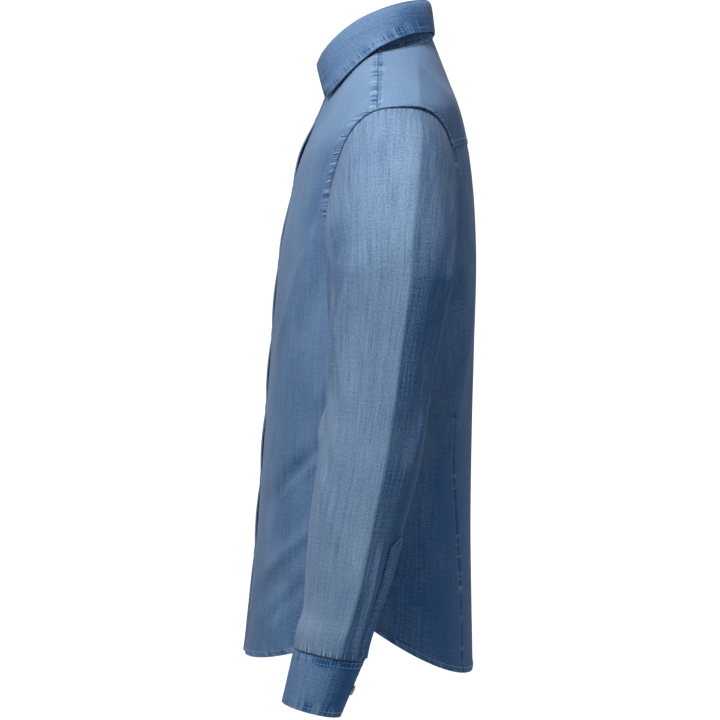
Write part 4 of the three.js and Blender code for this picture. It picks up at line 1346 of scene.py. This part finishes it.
def button_object(node, point, facing):
    """A dished button with four holes, whose back lies just off the point."""
    sides = BUTTON_SIDES
    point = point + facing * BUTTON_LIFT
    turns = np.arange(sides) * 2 * math.pi / sides
    rings = []
    for radius, height in BUTTON_PROFILE[1:-1]:
        x = radius * np.cos(turns)
        y = radius * np.sin(turns)
        from_hole = np.hypot(np.abs(x) - HOLE_OUT, np.abs(y) - HOLE_OUT)
        pit = HOLE_DEPTH * (1 - ease(from_hole / HOLE_RADIUS)) if radius < BUTTON_WELL_RADIUS else 0
        rings.append(np.stack([x, y, height - pit + 0 * x], axis=-1))
    local = np.concatenate([[(0, 0, BUTTON_PROFILE[0][1])], *rings, [(0, 0, 0)]])
    up = np.array(facing)
    side = unit(np.cross((0, 0, 1), up))
    other = np.cross(up, side)
    vertices = point + local[:, 0:1] * side + local[:, 1:2] * other + local[:, 2:3] * up
    pairs = [(i, (i + 1) % sides) for i in range(sides)]
    starts = [1 + ring * sides for ring in range(len(rings))]
    faces = [(0, i + 1, j + 1) for i, j in pairs]
    for a, b in zip(starts, starts[1:]):
        faces += [(a + i, b + i, b + j, a + j) for i, j in pairs]
    end = starts[-1]
    faces += [(end + sides, end + j, end + i) for i, j in pairs]
    thing = mesh_of_lists(node + "_finish", vertices, faces, finish_of["button"])
    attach(thing, "root")
    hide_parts(node)
    for shift in (-HOLE_OUT, HOLE_OUT):
        middle = point + up * THREAD_HEIGHT + side * shift
        ends = middle + other * np.array((-1.2, -0.5, 0.5, 1.2))[:, None]
        sew("trim", ends, np.repeat(up[None], 4, axis=0), 1.6)


def near(grid, target):
    distance = np.linalg.norm(grid - target, axis=-1)
    row, column = np.unravel_index(np.argmin(distance), distance.shape)
    return grid[row, column], grid_normals(grid)[row, column]


for index in range(BUTTON_COUNT):
    z = np.array([BUTTON_FIRST_Z - BUTTON_PITCH * index], float)
    around, run = front_place(np.array([0.001]), z)
    target = front_point(-1, around, run, BAND_HEIGHT)[0]
    point, facing = near(band, target)
    point = np.array((0, point[1], point[2]))
    button_object(f"button_front_{index + 1}", point, unit(facing * np.array((0, 1, 1))))
stand_target = stand_point(np.array([4.0]), np.array([0.42]))[0]
button_object("button_collar_stand", *near(stand[:, -30:], stand_target))
cuff_target = cuff_point(np.array(CUFF_LENGTH - CUFF_BUTTON_INSET), np.array(0.5))
point, facing = near(cuff[0], cuff_target)
button_object("button_cuff_left", point, facing)
button_object("button_cuff_right", point * MIRROR, facing * MIRROR)

stitch_object("stitches_body", stitch_rows["body"])
stitch_object("stitches_sleeves", stitch_rows["sleeves"])
stitch_object("stitches_trim", stitch_rows["trim"])


# Studio

FLOOR_Z = -1.0
PAPER_FRONT_X = 1.8
SWEEP_X = -1.2
SWEEP_RADIUS = 1
WALL_X = SWEEP_X - SWEEP_RADIUS
PAPER_HEIGHT = 2.2
PAPER_HALF_WIDTH = 1.3

paper, _, paper_shader = new_material("studio_paper")
paper_shader.inputs["Base Color"].default_value = (0.9, 0.9, 0.9, 1)
paper_shader.inputs["Roughness"].default_value = 0.9
paper_shader.inputs["Specular IOR Level"].default_value = 0.1
sweep = [(PAPER_FRONT_X, 0), (SWEEP_X, 0)]
for turn in np.linspace(0.1, math.pi / 2, 14):
    sweep.append((SWEEP_X - SWEEP_RADIUS * math.sin(turn), SWEEP_RADIUS * (1 - math.cos(turn))))
sweep.append((WALL_X, PAPER_HEIGHT))
edges = (-PAPER_HALF_WIDTH, PAPER_HALF_WIDTH)
vertices = np.array([(x, y, FLOOR_Z + z) for x, z in sweep for y in edges])
k = np.arange(len(sweep) - 1) * 2
backdrop = mesh_object("backdrop", vertices / METRE, np.stack([k, k + 1, k + 3, k + 2], axis=1))
backdrop.data.materials.append(paper)


def area_light(name, place, target, size, power):
    light = bpy.data.lights.new(name, "AREA")
    light.size = size
    light.energy = power
    thing = link(name, light)
    thing.location = place
    thing.rotation_euler = (Vector(target) - Vector(place)).to_track_quat("-Z", "Y").to_euler()


area_light("key", (1.25, -0.5, 1.15), (0.1, 0, -0.25), 0.6, 52)
area_light("back_fill", (1.3, 1.9, 0.5), (0.1, 0, -0.4), 0.7, 9)
area_light("fill", (3.4, -0.6, 0.2), (0.1, 0, -0.35), 1.6, 4)
area_light("paper_left", (-1.1, -1.9, 0.6), (WALL_X, -0.3, -0.4), 1.2, 32)
area_light("paper_right", (-1.1, 1.9, 0.6), (WALL_X, 0.3, -0.4), 1.2, 32)

world = bpy.data.worlds.new("studio")
world.use_nodes = True
world.node_tree.nodes["Background"].inputs[0].default_value = (0.95, 0.97, 1, 1)
world.node_tree.nodes["Background"].inputs[1].default_value = 0.08
bpy.context.scene.world = world
bpy.context.scene.view_settings.view_transform = "Standard"

camera = bpy.data.cameras.new("camera")
camera.sensor_width = SENSOR
camera.lens = SENSOR * VIEW_DISTANCE / VIEW_SPAN
camera.clip_end = 50
camera_object = link("camera", camera)
camera_object.location = (VIEW_DISTANCE * METRE, VIEW_Y * METRE, VIEW_Z * METRE)
camera_object.rotation_euler = (math.radians(90), 0, math.radians(90))
bpy.context.scene.camera = camera_object
